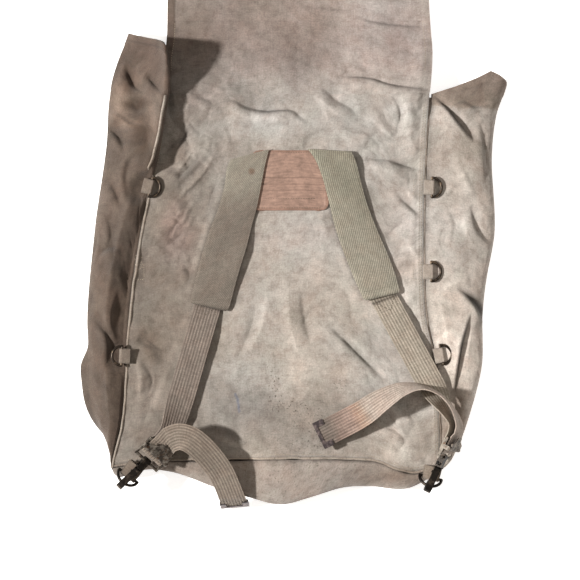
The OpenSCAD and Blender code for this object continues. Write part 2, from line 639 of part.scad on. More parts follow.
// Folded metal tip on the end of a tail
tip_wall = 0.9;
function tip_frame(side) = let(points = tail_points(side), n = len(points) - 1, f = tail_frame(points, n))
    [xyz(points[n]) + f[2] * tip_l, f[1], f[2], f[3]];
module metal_tip(w, l) {
    color(STEEL) difference() {
        translate([0, tip_wall + fit - l / 2, 0])
            cube([w + 2 * (tip_wall + fit), l, web_t + 2 * (tip_wall + fit)], center = true);
        translate([0, -l / 2 - 0.01, 0]) cube([w + 2 * fit, l + 0.02, web_t + 2 * fit], center = true);
        linear_extrude(3 * web_t + 4 * tip_wall, center = true) polygon([[-w / 2 + 6, -3],
            [w / 2 - 6, -3], [w / 2 - 6, -l - 1], [-w / 2 + 6, -l - 1]]);
    }
}

// Flap: two plates with round edges on the fold and on the crease
loft_fall = loft_top - canvas_t / 2;
crease_y = fold_y + sqrt(flap_top_l * flap_top_l - loft_fall * loft_fall);
crease_z = canvas_t / 2;
flap_w = panel_top_w - 2 * flap_inset;
flap_x0 = top_axis_x - flap_w / 2;
bead = canvas_t / 2;
module flap_top() {
    fall = atan2(loft_fall, crease_y - fold_y);
    color(CANVAS) translate([flap_x0, fold_y, loft_top]) rotate([-fall, 0, 0])
        rotate([90, 0, 90]) linear_extrude(flap_w) {
            circle(bead);
            translate([0, -bead]) square([flap_top_l - bead - fit, canvas_t]);
        }
}
module flap_front() {
    color(CANVAS) translate([flap_x0, crease_y, crease_z]) {
        rotate([0, 90, 0]) cylinder(h = flap_w, r = bead);
        translate([0, 0, -bead]) linear_extrude(canvas_t) {
            r = 12;
            square([flap_w, flap_front_l - r]);
            translate([r, 0]) square([flap_w - 2 * r, flap_front_l]);
            for (x = [r, flap_w - r]) translate([x, flap_front_l - r]) circle(r);
        }
    }
}

// Closure straps on the outer face of the flap, and their metal tips
closure_end_y = crease_y + flap_front_l + closure_free_l;
closure_z = canvas_t + fit + web_t / 2;
module closure_strap(side) {
    length = closure_sewn_l + closure_free_l;
    color(WEBBING) translate([closure_x(side) - closure_w / 2, closure_end_y - length, closure_z - web_t / 2])
        cube([closure_w, length, web_t]);
}
module closure_tip(side) translate([closure_x(side), closure_end_y, closure_z]) metal_tip(closure_w, tip_l);

// Closure buckles under the front panel, each on a short webbing tab
front_bar = 3;
front_buckle_in = closure_w + 2;
front_buckle_l = 20;
front_z = front_bar / 2 + fit + 1.2;
front_tab_wrap = front_bar / 2 + fit;
front_tab_l = 22;
module at_front_buckle(side) translate([closure_x(side), front_buckle_y - 6, front_z + 0.4]) children();
module front_buckle(side) {
    half = front_buckle_in / 2 + front_bar / 2;
    color(STEEL) at_front_buckle(side) union() {
        for (y = [0, front_buckle_l / 2, front_buckle_l]) translate([0, y, 0]) rotate([0, 90, 0])
            cylinder(h = 2 * half, d = front_bar, center = true);
        for (x = [-half, half]) translate([x, 0, 0]) {
            rotate([-90, 0, 0]) cylinder(h = front_buckle_l, d = front_bar);
            for (y = [0, front_buckle_l]) translate([0, y, 0]) sphere(d = front_bar);
        }
    }
}
module front_tab(side) at_front_buckle(side)
    rotate([0, 0, 90]) tab_loop(closure_w, front_tab_l, front_tab_wrap);

front_panel();
back_panel();
left_gusset();
right_gusset();
bottom_gusset();
side_welt(-1);  // left_seam_welt
side_welt(1);  // right_seam_welt
bottom_welt();  // bottom_seam_welt
strap_patch();
lash_tab(left_upper);  // left_upper_tab
lash_tab(left_lower);  // left_lower_tab
lash_tab(right_upper);  // right_upper_tab
lash_tab(right_middle);  // right_middle_tab
lash_tab(right_lower);  // right_lower_tab
lash_ring(left_upper);  // left_upper_ring
lash_ring(left_lower);  // left_lower_ring
lash_ring(right_upper);  // right_upper_ring
lash_ring(right_middle);  // right_middle_ring
lash_ring(right_lower);  // right_lower_ring
corner_tab(left_corner, left_corner_turn, left_corner_tab_l);  // left_corner_tab
corner_tab(right_corner, right_corner_turn, right_corner_tab_l);  // right_corner_tab
corner_ring(left_corner, left_corner_turn);  // left_corner_ring
corner_ring(right_corner, right_corner_turn);  // right_corner_ring
on(left_hook_frame) hook();  // left_hook
on(right_hook_frame) hook();  // right_hook
on(left_hook_frame) hook_gate();  // left_hook_gate
on(right_hook_frame) hook_gate();  // right_hook_gate
on(left_hook_frame) gate_rivet();  // left_gate_rivet
on(right_hook_frame) gate_rivet();  // right_gate_rivet
on(left_frame) hook_swivel();  // left_hook_swivel
on(right_frame) hook_swivel();  // right_hook_swivel
on(left_frame) buckle_frame();  // left_buckle_frame
on(right_frame) buckle_frame();  // right_buckle_frame
on(left_frame) buckle_pin();  // left_buckle_pin
on(right_frame) buckle_pin();  // right_buckle_pin
on(left_frame) buckle_lever();  // left_buckle_lever
on(right_frame) buckle_lever();  // right_buckle_lever
strap_pad(-1);  // left_strap_pad
strap_pad(1);  // right_strap_pad
strap_web(-1);  // left_strap_web
strap_web(1);  // right_strap_web
strap_tail(-1);  // left_strap_tail
strap_tail(1);  // right_strap_tail
on(tip_frame(-1)) metal_tip(web_w, tip_l);  // left_tail_tip
on(tip_frame(1)) metal_tip(web_w, tip_l);  // right_tail_tip
flap_top();
flap_front();
closure_strap(-1);  // left_closure_strap
closure_strap(1);  // right_closure_strap
closure_tip(-1);  // left_closure_tip
closure_tip(1);  // right_closure_tip
front_buckle(-1);  // left_front_buckle
front_buckle(1);  // right_front_buckle
front_tab(-1);  // left_front_tab
front_tab(1);  // right_front_tab
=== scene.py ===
"""Looks of a canvas rucksack that lies on its front with its flap thrown open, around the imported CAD."""

import math

import bpy
import numpy as np
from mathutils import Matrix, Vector


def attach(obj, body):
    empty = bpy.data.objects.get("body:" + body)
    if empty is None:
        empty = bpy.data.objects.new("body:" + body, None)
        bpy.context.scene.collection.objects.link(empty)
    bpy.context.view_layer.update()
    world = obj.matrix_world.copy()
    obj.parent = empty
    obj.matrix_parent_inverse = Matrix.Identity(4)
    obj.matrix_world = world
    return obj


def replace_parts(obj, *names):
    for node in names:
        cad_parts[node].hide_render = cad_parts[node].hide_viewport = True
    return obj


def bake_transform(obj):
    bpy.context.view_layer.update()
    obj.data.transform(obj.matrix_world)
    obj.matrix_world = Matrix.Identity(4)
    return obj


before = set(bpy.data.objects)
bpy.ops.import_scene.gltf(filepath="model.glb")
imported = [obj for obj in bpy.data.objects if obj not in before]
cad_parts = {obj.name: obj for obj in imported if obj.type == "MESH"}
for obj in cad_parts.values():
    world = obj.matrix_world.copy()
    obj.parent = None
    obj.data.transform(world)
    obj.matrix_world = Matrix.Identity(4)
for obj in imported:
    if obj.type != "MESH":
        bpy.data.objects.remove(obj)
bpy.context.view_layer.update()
MM = 0.001
SIDES = ((-1, "left"), (1, "right"))
X_AXIS, Y_AXIS, Z_AXIS = np.eye(3)

# The photograph's scale: millimetres to a pixel, and the pixel over the frame's origin
PX_MM, PHOTO_MID = 1.2, 290

# Sizes repeated from the part's source, in millimetres
BOTTOM_Y, PANEL_H, FOLD_Y = -203.0, 438.0, 235.0
PANEL_BOTTOM_W, PANEL_TOP_W, BOTTOM_AXIS, TOP_AXIS = 392.0, 316.0, -15.0, 10.0
SEAM_BOTTOM_Z, SEAM_TOP_Z = 36.0, 30.0
SEAM_GAP, CANVAS_T, WELT_RISE, FIT, SOFT_GAP = 2.3, 1.6, 1.2, 0.3, 0.6
GUSSET_W, GUSSET_L, GUSSET_RUN = 152.0, 470.0, 460
FLAP_W, FLAP_TOP_L, FLAP_FRONT_L = 314.0, 100.0, 262.0
FLAP_END_Y, CREASE_Y, CREASE_Z = 588.45, 326.45, 0.8
CLOSURE_W, CLOSURE_L, CLOSURE_FREE_L, CLOSURE_SPREAD = 25.4, 160.0, 90.0, 85
PAD_W, PAD_L, PAD_T = 50.8, 188.0, 2.4
WEB_W, WEB_T, WEB_SEWN_L, WEB_SHIFT = 31.8, 2.0, 14, 1.5
PATCH_W, PATCH_H, PATCH_T, PATCH_TOP = 92.0, 72.0, 1.8, 167.0
HOOK_L, BUCKLE_L, MIDDLE_Y, BAR_R = 38.0, 24.0, 10.0, 1.8
UPPER_H, MIDDLE_H, LOWER_H = 326, 225, 124

# The scene's own sizes: gaps beside the seams, what a hem adds, and the lowest middle of the canvas
PANEL_GAP = {-1: SEAM_GAP, 1: 1.5}
HEM_T = 0.9
LOW_Z = CANVAS_T / 2 + 0.1

# Forms read off the photograph, by the share of a length: how far the seams stray and drop, and how far
# the gussets reach out
STRAY = {-1: [[0, 0], [0.13, 4], [0.42, -5.5], [0.65, -5], [0.85, 2], [1, 0]],
         1: [[0, 0], [0.24, -1.5], [0.4, -12.5], [0.55, -13], [0.8, -8], [1, 0]]}
BOTTOM_DROP = [[0, -8], [0.12, -1], [0.25, 0], [0.78, 0], [0.9, -15], [1, -8]]
REACH = {-1: [[0, 0.01], [0.028, 0.035], [0.07, 0.2], [0.115, 0.39], [0.17, 0.49], [0.3, 0.63], [0.5, 0.71],
              [0.75, 0.83], [0.88, 0.84], [1, 0.57]],
         1: [[0, 0.08], [0.08, 0.33], [0.24, 0.66], [0.35, 0.82], [0.5, 0.98], [0.62, 1.1],
             [0.8, 1.03], [0.92, 1.06], [1, 1.2]]}
BOTTOM_REACH = [[0, 0.06], [0.12, 0.12], [0.2, 0.2], [0.3, 0.4], [0.42, 0.6], [0.51, 0.71], [0.6, 0.6],
                [0.7, 0.44], [0.82, 0.37], [0.93, 0.17], [1, 0.06]]


# Numbers and curves

def lerp(a, b, t):
    return a + (b - a) * t


def ease(t):
    c = np.clip(t, 0, 1)
    return c * c * (3 - 2 * c)


def spline(table, key):
    """Smooth curve through [key, value] rows, as in the part's source."""
    rows = np.array(table, float)
    tx, ty = rows[:, 0], rows[:, 1]
    key = np.asarray(key, float)
    n = len(tx)
    i = np.clip(np.searchsorted(tx, key, side="left") - 1, 0, n - 2)
    o, r = np.clip(i - 1, 0, n - 1), np.clip(i + 2, 0, n - 1)
    span = tx[i + 1] - tx[i]
    t = np.clip((key - tx[i]) / span, 0, 1)
    m = (ty[i + 1] - ty[o]) / (tx[i + 1] - tx[o]) * span
    k = (ty[r] - ty[i]) / (tx[r] - tx[i]) * span
    return (ty[i] * (1 + 2 * t) * (1 - t) ** 2 + m * t * (1 - t) ** 2
            + ty[i + 1] * t * t * (3 - 2 * t) + k * t * t * (t - 1))


def unit(v):
    return v / np.maximum(np.linalg.norm(v, axis=-1, keepdims=True), 1e-9)


def photo(points):
    """Points read off the photograph, in its pixels, as millimetres in the frame."""
    p = np.array(points, float)
    return np.stack([(p[..., 0] - PHOTO_MID) * PX_MM, (PHOTO_MID - p[..., 1]) * PX_MM], -1)


def noise(x, y, size, seed):
    """Smooth random field from -1 to 1 with blobs about size across."""
    lattice = np.random.default_rng(seed).uniform(-1, 1, (97, 97))
    x, y = np.asarray(x) / size + 31.7, np.asarray(y) / size + 17.3
    i, j = np.floor(x).astype(int), np.floor(y).astype(int)
    a, b = x - i, y - j
    a, b = a ** 3 * (a * (a * 6 - 15) + 10), b ** 3 * (b * (b * 6 - 15) + 10)
    knot = lambda p, q: lattice[p % 97, q % 97]
    return lerp(lerp(knot(i, j), knot(i + 1, j), a), lerp(knot(i, j + 1), knot(i + 1, j + 1), a), b)


def fractal(x, y, size, seed, octaves):
    """Noise with finer noise of half the size and half the height on it."""
    total, weight = 0.0, 0.0
    for k in range(octaves):
        total = total + 0.5 ** k * noise(x, y, size / 2 ** k, seed + 11 * k)
        weight += 0.5 ** k
    return total / weight


def to_line(x, y, line):
    """Distance from a polyline, its sign by the side, and the share of its length."""
    best = np.full(np.shape(x), 1e9)
    side, share = np.zeros(np.shape(x)), np.zeros(np.shape(x))
    steps = np.linalg.norm(np.diff(line, axis=0), axis=1)
    total, run = steps.sum(), 0.0
    for p, q, step in zip(line[:-1], line[1:], steps):
        d = (q - p) / step
        along = np.clip((x - p[0]) * d[0] + (y - p[1]) * d[1], 0, step)
        ox, oy = x - p[0] - along * d[0], y - p[1] - along * d[1]
        far = np.hypot(ox, oy)
        near = far < best
        best = np.where(near, far, best)
        side = np.where(near, np.sign(d[0] * oy - d[1] * ox), side)
        share = np.where(near, (run + along) / total, share)
        run += step
    return best, side, share


def smoothed(points, n):
    """A curve of n points through the given ones."""
    p = np.array(points, float)
    k = np.linspace(0, 1, len(p))
    return np.stack([spline(np.stack([k, p[:, c]], -1), np.linspace(0, 1, n)) for c in range(p.shape[1])], -1)


def traced(rows):
    """Rows that start with points of the photograph, with a smooth line in the frame for those points."""
    return [(smoothed(photo(row[0]), 4 * len(row[0])), *row[1:]) for row in rows]


def fade(share, power):
    """1 along most of a line, dying out at both ends."""
    return np.sin(np.pi * np.clip(share, 0.001, 0.999)) ** power


def run_of(line):
    """Running length along a line."""
    return np.concatenate([[0], np.cumsum(np.linalg.norm(np.diff(line, axis=0), axis=1))])


# Seams and the panel's middle surface

def seam_x(side, t):
    """Place across the bag of a side seam, by the share of the panel's height."""
    return (lerp(BOTTOM_AXIS + side * PANEL_BOTTOM_W / 2, TOP_AXIS + side * PANEL_TOP_W / 2, t)
            + spline(STRAY[side], t))


def seam_z(t):
    return lerp(SEAM_BOTTOM_Z, SEAM_TOP_Z, np.clip(t, 0, 1))


def panel_lift(u, t):
    """Height of the panel's middle surface, which swells between its seams."""
    u, t = np.clip(u, 0, 1), np.clip(t, 0, 1)
    return seam_z(t) + 9 * np.sin(np.pi * u) * np.maximum(0, np.sin(np.pi * t)) ** 0.6


def panel_z(x, y):
    t = np.clip((y - BOTTOM_Y) / PANEL_H, 0, 1)
    return panel_lift((x - seam_x(-1, t)) / (seam_x(1, t) - seam_x(-1, t)), t)


# Straps: the upper pads and the frames of the corner hardware

PATCH_Z = CANVAS_T / 2 + FIT + PATCH_T / 2
PAD_TOP_Z = CANVAS_T / 2 + FIT + PATCH_T + SOFT_GAP + PAD_T / 2
PAD_END_Z = CANVAS_T / 2 + SOFT_GAP + WEB_T + SOFT_GAP + PAD_T / 2
LEAN = {-1: math.radians(16), 1: math.radians(20.5)}


def pad_way(side):
    return np.array([side * math.sin(LEAN[side]), -math.cos(LEAN[side]), 0])


def pad_cross(side):
    return np.array([math.cos(LEAN[side]), side * math.sin(LEAN[side]), 0])


def pad_point(side, l, c):
    top = np.array([side * 44.0, PATCH_TOP - 3, 0])
    return top + np.multiply.outer(l, pad_way(side)) + np.multiply.outer(c, pad_cross(side))


def strap_frame(start, end, roll):
    a = unit(np.array(end, float) - start)
    h = unit(np.cross(a, [0, 0, 1]))
    up = np.cross(h, a)
    r = math.radians(roll)
    return np.array(start, float), h * math.cos(r) - up * math.sin(r), a, up * math.cos(r) + h * math.sin(r)


def at(f, p):
    return f[0] + f[1] * p[0] + f[2] * p[1] + f[3] * p[2]


CORNER_BAR = {-1: np.array([seam_x(-1, 0) + 18, BOTTOM_Y - 19, 41.6]),
              1: np.array([seam_x(1, 0) - 13, BOTTOM_Y - 21, 41.6])}
CORNER_TURN = {-1: -37.0, 1: -14.0}
CORNER_TAB_L = {-1: 20.0, 1: 17.0}
CORNER_R = 13.3


def corner_grip(side):
    a, tilt = math.radians(CORNER_TURN[side]), math.radians(45)
    out = np.array([math.sin(a), -math.cos(a), 0])
    return CORNER_BAR[side] + CORNER_R * (out * math.cos(tilt) + Z_AXIS * math.sin(tilt))


BUCKLE = {-1: strap_frame(corner_grip(-1), corner_grip(-1) + [34.5, 32.4, 2], 24),
          1: strap_frame(corner_grip(1), corner_grip(1) + [22, 46, 3], 66)}


# Meshes

def make(name, verts, faces, material, tint=None, uv=None, sharp=50):
    mesh = bpy.data.meshes.new(name)
    mesh.from_pydata((np.asarray(verts) * MM).tolist(), [], [tuple(int(i) for i in f) for f in faces])
    mesh.polygons.foreach_set("use_smooth", [True] * len(mesh.polygons))
    mesh.set_sharp_from_angle(angle=math.radians(sharp))
    if tint is not None:
        layer = mesh.color_attributes.new("tint", "FLOAT_COLOR", "POINT")
        layer.data.foreach_set("color", np.asarray(tint, np.float32).ravel())
    if uv is not None:
        layer = mesh.uv_layers.new(name="cloth")
        corner = np.zeros(len(mesh.loops), np.int32)
        mesh.loops.foreach_get("vertex_index", corner)
        layer.data.foreach_set("uv", (np.asarray(uv) * MM)[corner].astype(np.float32).ravel())
    mesh.materials.append(material)
    mesh.update()
    obj = bpy.data.objects.new(name, mesh)
    bpy.context.scene.collection.objects.link(obj)
    return obj


def quads(n, m):
    i, j = np.meshgrid(np.arange(n - 1), np.arange(m - 1), indexing="ij")
    a = (i * m + j).ravel()
    return np.stack([a, a + 1, a + m + 1, a + m], -1)


def tube(n, m):
    """Faces round n rings of m points each, without the two ends."""
    i, j = np.meshgrid(np.arange(n - 1), np.arange(m), indexing="ij")
    a, b = (i * m + j).ravel(), (i * m + (j + 1) % m).ravel()
    return np.stack([a, b, b + m, a + m], -1)


def normals_of(grid):
    return unit(np.cross(np.gradient(grid, axis=1), np.gradient(grid, axis=0)))


def lengths(grid):
    """Running length along each direction of a sheet, in millimetres, for its weave."""
    row = np.linalg.norm(np.diff(grid, axis=1), axis=2)
    col = np.linalg.norm(np.diff(grid, axis=0), axis=2)
    u = np.concatenate([np.zeros((grid.shape[0], 1)), np.cumsum(row, 1)], 1)
    v = np.concatenate([np.zeros((1, grid.shape[1])), np.cumsum(col, 0)], 0)
    return np.stack([u - u[:, -1:] / 2, v], -1)


def cloth(name, grid, thick, material, tint, flip=False):
    """Closed sheet round a grid of points on its middle surface."""
    n, m = grid.shape[:2]
    half = normals_of(grid) * (np.broadcast_to(thick, (n, m))[..., None] / 2)
    if flip:
        half = -half
    verts = np.concatenate([(grid + half).reshape(-1, 3), (grid - half).reshape(-1, 3)])
    top = quads(n, m)
    low = top[:, ::-1] + n * m
    k = np.arange(n * m).reshape(n, m)
    loop = np.concatenate([k[0], k[1:, -1], k[-1, -2::-1], k[-2:0:-1, 0]])
    nxt = np.roll(loop, -1)
    rim = np.stack([loop + n * m, nxt + n * m, nxt, loop], -1)
    faces = np.concatenate([top, low, rim])
    if flip:
        faces = faces[:, ::-1]
    colour = np.concatenate([tint.reshape(-1, 4)] * 2)
    length = lengths(grid).reshape(-1, 2)
    return make(name, verts, faces, material, colour, np.concatenate([length, length]))


def strap(name, centre, across, normal, width, thick, material, tint, ribs=0, deep=0.3, edge=0.5):
    """Closed flat strap along a centre line, with lengthwise ribs and soft edges."""
    n, points = tint.shape[:2]
    q = np.linspace(-1, 1, points)
    body = thick / 2 * (1 - (1 - edge) * np.abs(q) ** 14)
    if ribs:
        body = body - deep * grooves(q, ribs) * (np.abs(q) < 1 - 0.5 / ribs)
    side = centre[:, None] + across[:, None] * (q * width / 2)[None, :, None]
    lift = normal[:, None] * body[None, :, None]
    ring = np.concatenate([side + lift, (side - lift)[:, ::-1]], 1)
    m = ring.shape[1]
    j = np.arange(points - 1)
    first = np.stack([j + 1, j, m - 1 - j, m - 2 - j], -1)
    last = np.stack([j, j + 1, m - 2 - j, m - 1 - j], -1) + (n - 1) * m
    faces = np.concatenate([tube(n, m), first, last])
    way = np.gradient(centre, axis=0)
    if (np.cross(across, way) * normal).sum() < 0:
        faces = faces[:, ::-1]
    uv = np.stack([np.tile(np.concatenate([q, q[::-1]]) * width / 2, n), np.repeat(run_of(centre), m)], -1)
    colour = np.concatenate([tint, tint[:, ::-1]], 1).reshape(-1, 4)
    return make(name, ring.reshape(-1, 3), faces, material, colour, uv)


def grooves(q, ribs):
    """1 in the grooves between the ribs of a web, by the place from -1 to 1 across it."""
    return 0.5 - 0.5 * np.cos(np.pi * ribs * (q + 1))


# A stitch's rings: place along it, and the share of its radius
STITCH_RINGS = ((-0.5, 0.35), (-0.3, 0.9), (0.0, 1.0), (0.3, 0.9), (0.5, 0.35))
STITCH_LIFT = 0.1


def stitch_row(line, normal, pitch=3.2, length=2.3, radius=0.28):
    """Vertices and faces of a row of stitches along a line; normal is one vector or one for each point."""
    line = np.asarray(line, float)
    run = run_of(line)
    normal = np.broadcast_to(normal, line.shape)
    on = lambda values, s: np.array([np.interp(s, run, values[:, c]) for c in range(3)])
    verts, faces = [], []
    for s in np.arange(pitch / 2, run[-1], pitch):
        mid, n = on(line, s), unit(on(normal, s))
        a = unit(on(line, min(s + 0.4, run[-1])) - on(line, s - 0.4))
        w = unit(np.cross(a, n))
        base = len(verts)
        for e, r in STITCH_RINGS:
            sink = -radius * 1.6 * (2 * abs(e)) ** 2
            for k in range(6):
                g = math.pi * k / 3
                verts.append(mid + a * e * length + n * (STITCH_LIFT + sink + radius * r * math.sin(g))
                             + w * radius * 1.3 * r * math.cos(g))
        faces += [tuple(base + i for i in face) for face in tube(5, 6).tolist()]
        for first in (base, base + 24):
            order = [first + k for k in range(6)]
            order = order[::-1] if first == base else order
            faces += [tuple(order[0:4]), (order[0], order[3], order[4], order[5])]
    return verts, faces


def stitches(name, rows, material, body):
    """One object of several rows of stitches, riding on a body unless that is None."""
    verts, faces = [], []
    for v, f in rows:
        faces += [tuple(i + len(verts) for i in q) for q in f]
        verts += v
    obj = make(name, np.array(verts), faces, material, sharp=80)
    if body:
        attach(obj, body)
    return obj


# Materials

SPECK = (0.08, 0.065, 0.05)
PATINA = 160.0
BANDS = 314.0  # the wave texture's scale for bands one millimetre apart


def plain(name, roughness, specular):
    material = bpy.data.materials.new(name)
    material.use_nodes = True
    shader = material.node_tree.nodes["Principled BSDF"]
    shader.inputs["Roughness"].default_value = roughness
    shader.inputs["Specular IOR Level"].default_value = specular
    return material, shader


def node(tree, kind, **values):
    """A new shader node. Sockets among the values are linked to its inputs, and other values are set."""
    n = tree.nodes.new(kind)
    for key, value in values.items():
        if isinstance(value, bpy.types.NodeSocket):
            tree.links.new(value, n.inputs[key])
        elif key in n.inputs:
            n.inputs[key].default_value = value
        else:
            setattr(n, key, value)
    return n


def cloudy(tree, where, scale, detail, roughness=0.5):
    return node(tree, "ShaderNodeTexNoise", Vector=where, Scale=scale, Detail=detail,
                Roughness=roughness).outputs["Fac"]


def banded(tree, where, way, scale, distortion, detail=2.0):
    return node(tree, "ShaderNodeTexWave", wave_type="BANDS", bands_direction=way, Vector=where, Scale=scale,
                Distortion=distortion, Detail=detail).outputs["Fac"]


def scaled(tree, source, scale):
    return node(tree, "ShaderNodeMapping", Vector=source, Scale=scale).outputs["Vector"]


def ramp(tree, source, stops):
    """Colour ramp through (place, grey or colour) stops."""
    r = node(tree, "ShaderNodeValToRGB", Fac=source)
    while len(r.color_ramp.elements) < len(stops):
        r.color_ramp.elements.new(0.5)
    for element, (where, value) in zip(r.color_ramp.elements, stops):
        element.position = where
        element.color = (value, value, value, 1) if np.isscalar(value) else (*value, 1)
    return r.outputs["Color"]


def combined(tree, operation, a, b):
    n = node(tree, "ShaderNodeMath", operation=operation)
    for value, socket in zip((a, b), n.inputs):
        tree.links.new(value, socket)
    return n.outputs["Value"]


def times(tree, a, b, fac=None, how="MULTIPLY"):
    """Colour a with colour b over it; each is a socket or a constant, and fac a socket or all of it."""
    mix = node(tree, "ShaderNodeMix", data_type="RGBA", blend_type=how)
    if fac is None:
        mix.inputs[0].default_value = 1.0
    else:
        tree.links.new(fac, mix.inputs[0])
    for value, socket in ((a, mix.inputs[6]), (b, mix.inputs[7])):
        if isinstance(value, tuple):
            socket.default_value = (*value, 1)
        else:
            tree.links.new(value, socket)
    return mix.outputs[2]


def dress(shader, colour, height=None, strength=0.0, distance=0.0):
    """Gives a shader its colour, and its fine relief where there is a height."""
    tree = shader.id_data
    tree.links.new(colour, shader.inputs["Base Color"])
    if height is not None:
        relief = node(tree, "ShaderNodeBump", Height=height, Strength=strength, Distance=distance)
        tree.links.new(relief.outputs["Normal"], shader.inputs["Normal"])


def own_tint(tree):
    """A cloth's tint and its lengths along the weave."""
    return (node(tree, "ShaderNodeVertexColor", layer_name="tint").outputs,
            node(tree, "ShaderNodeUVMap", uv_map="cloth").outputs["UV"])


def woven(name, thread, roughness, dirt, bump, streak=0.09, twill=False):
    """Old cloth: the piece's own tint, slubs along both thread directions, specks, weave and fuzz."""
    material, shader = plain(name, roughness, 0.18)
    tree = material.node_tree
    tint, uv = own_tint(tree)
    colour = tint["Color"]
    for scale in ((700, 70, 1), (70, 700, 1)):
        slub = cloudy(tree, scaled(tree, uv, scale), 1.0, 4.0, 0.6)
        colour = times(tree, colour, ramp(tree, slub, ((0.3, 1 - streak), (0.7, 1 + streak * 0.7))))
    mottle = cloudy(tree, uv, 95.0, 8.0, 0.70)
    hue, grain = cloudy(tree, uv, 34.0, 6.0, 0.62), cloudy(tree, uv, 520.0, 3.0, 0.7)
    dots = cloudy(tree, uv, 330.0, 2.0)
    for texture, stops in (
            (mottle, ((0.32, (1 - dirt, 1 - 1.1 * dirt, 1 - 1.15 * dirt)), (0.52, 1.0), (0.70, 1.14))),
            (hue, ((0.36, (1.02, 0.98, 0.965)), (0.5, 1.0), (0.64, (0.96, 0.985, 0.98)))),
            (grain, ((0.32, 0.82), (0.68, 1.15)))):
        colour = times(tree, colour, ramp(tree, texture, stops))
    specks = combined(tree, "MULTIPLY", ramp(tree, dots, ((0.62, 0.0), (0.66, 1.0))), tint["Alpha"])
    colour = times(tree, colour, SPECK, specks, "MIX")
    scale = BANDS / thread
    if twill:
        weave = banded(tree, scaled(tree, uv, (1.0, 0.55, 1.0)), "DIAGONAL", 2 * scale, 0.6, 1.0)
        colour = times(tree, colour, ramp(tree, weave, ((0.15, 0.72), (0.75, 1.13))))
    else:
        weave = combined(tree, "MULTIPLY", *(banded(tree, uv, way, scale, 0.4) for way in "XY"))
    dress(shader, colour, combined(tree, "ADD", weave, mottle), bump, 0.0008)
    shader.inputs["Sheen Weight"].default_value = 0.12
    shader.inputs["Sheen Roughness"].default_value = 0.6
    return material


def metal(name, dark, light, roughness, wear, rust=None):
    """Old metal: patina with rubbed places and uneven shine."""
    material, shader = plain(name, 0.4, 0.5)
    tree = material.node_tree
    where = node(tree, "ShaderNodeTexCoord").outputs["Object"]
    patch, fine = cloudy(tree, where, PATINA, 6.0, 0.65), cloudy(tree, where, PATINA * 7, 3.0)
    colour = times(tree, dark, light, ramp(tree, patch, ((wear - 0.08, 0.0), (wear + 0.12, 1.0))), "MIX")
    if rust:
        spots = ramp(tree, cloudy(tree, where, PATINA * 1.7, 5.0), ((0.56, 0.0), (0.68, 0.8)))
        colour = times(tree, colour, rust, spots, "MIX")
    colour = times(tree, colour, ramp(tree, fine, ((0.3, 0.82), (0.7, 1.1))))
    dress(shader, colour, fine, 0.25, 0.0004)
    shine = node(tree, "ShaderNodeMapRange", Value=patch, **{"To Min": roughness[0], "To Max": roughness[1]})
    tree.links.new(shine.outputs["Result"], shader.inputs["Roughness"])
    shader.inputs["Metallic"].default_value = 0.9
    return material


def leather(name):
    """Worn leather: grain, scuffs and streaks over the piece's own tint."""
    material, shader = plain(name, 0.55, 0.35)
    tree = material.node_tree
    tint, uv = own_tint(tree)
    grain = node(tree, "ShaderNodeTexVoronoi", Vector=uv, Scale=900.0, feature="DISTANCE_TO_EDGE")
    scuff = cloudy(tree, uv, 120.0, 7.0, 0.7)
    streaks = cloudy(tree, scaled(tree, uv, (60, 420, 1)), 1.0, 5.0, 0.6)
    colour = times(tree, tint["Color"], ramp(tree, scuff, ((0.3, 0.66), (0.55, 1.0), (0.75, 1.24))))
    colour = times(tree, colour, ramp(tree, streaks, ((0.3, 0.76), (0.7, 1.18))))
    dress(shader, colour, combined(tree, "ADD", grain.outputs["Distance"], scuff), 0.35, 0.0005)
    return material


def yarn(name, colour):
    material, shader = plain(name, 0.8, 0.2)
    tree = material.node_tree
    where = node(tree, "ShaderNodeTexCoord").outputs["Object"]
    dress(shader, times(tree, colour, ramp(tree, cloudy(tree, where, 260.0, 4.0), ((0.3, 0.6), (0.7, 1.15)))))
    return material


CANVAS = woven("old_canvas", 0.75, 0.88, dirt=0.28, bump=0.6)
TWILL = woven("close_twill", 2.5, 0.85, streak=0.14, dirt=0.16, twill=True, bump=0.3)
WEBBING = woven("ribbed_webbing", 0.8, 0.85, streak=0.22, dirt=0.16, bump=0.4)
LEATHER = leather("worn_leather")
DARK_METAL = metal("dark_bronze", (0.045, 0.036, 0.030), (0.22, 0.165, 0.115), (0.30, 0.55), 0.57)
BLACKENED = metal("blackened_steel", (0.020, 0.017, 0.015), (0.115, 0.090, 0.070), (0.36, 0.6), 0.60)
STEEL = metal("worn_steel", (0.060, 0.050, 0.043), (0.30, 0.27, 0.235), (0.50, 0.78), 0.50,
              rust=(0.11, 0.065, 0.04))
GUN_METAL = metal("tip_metal", (0.075, 0.062, 0.066), (0.24, 0.19, 0.185), (0.28, 0.5), 0.55)
THREAD = yarn("pale_thread", (0.40, 0.34, 0.27))
DARK_THREAD = yarn("grey_thread", (0.16, 0.13, 0.10))

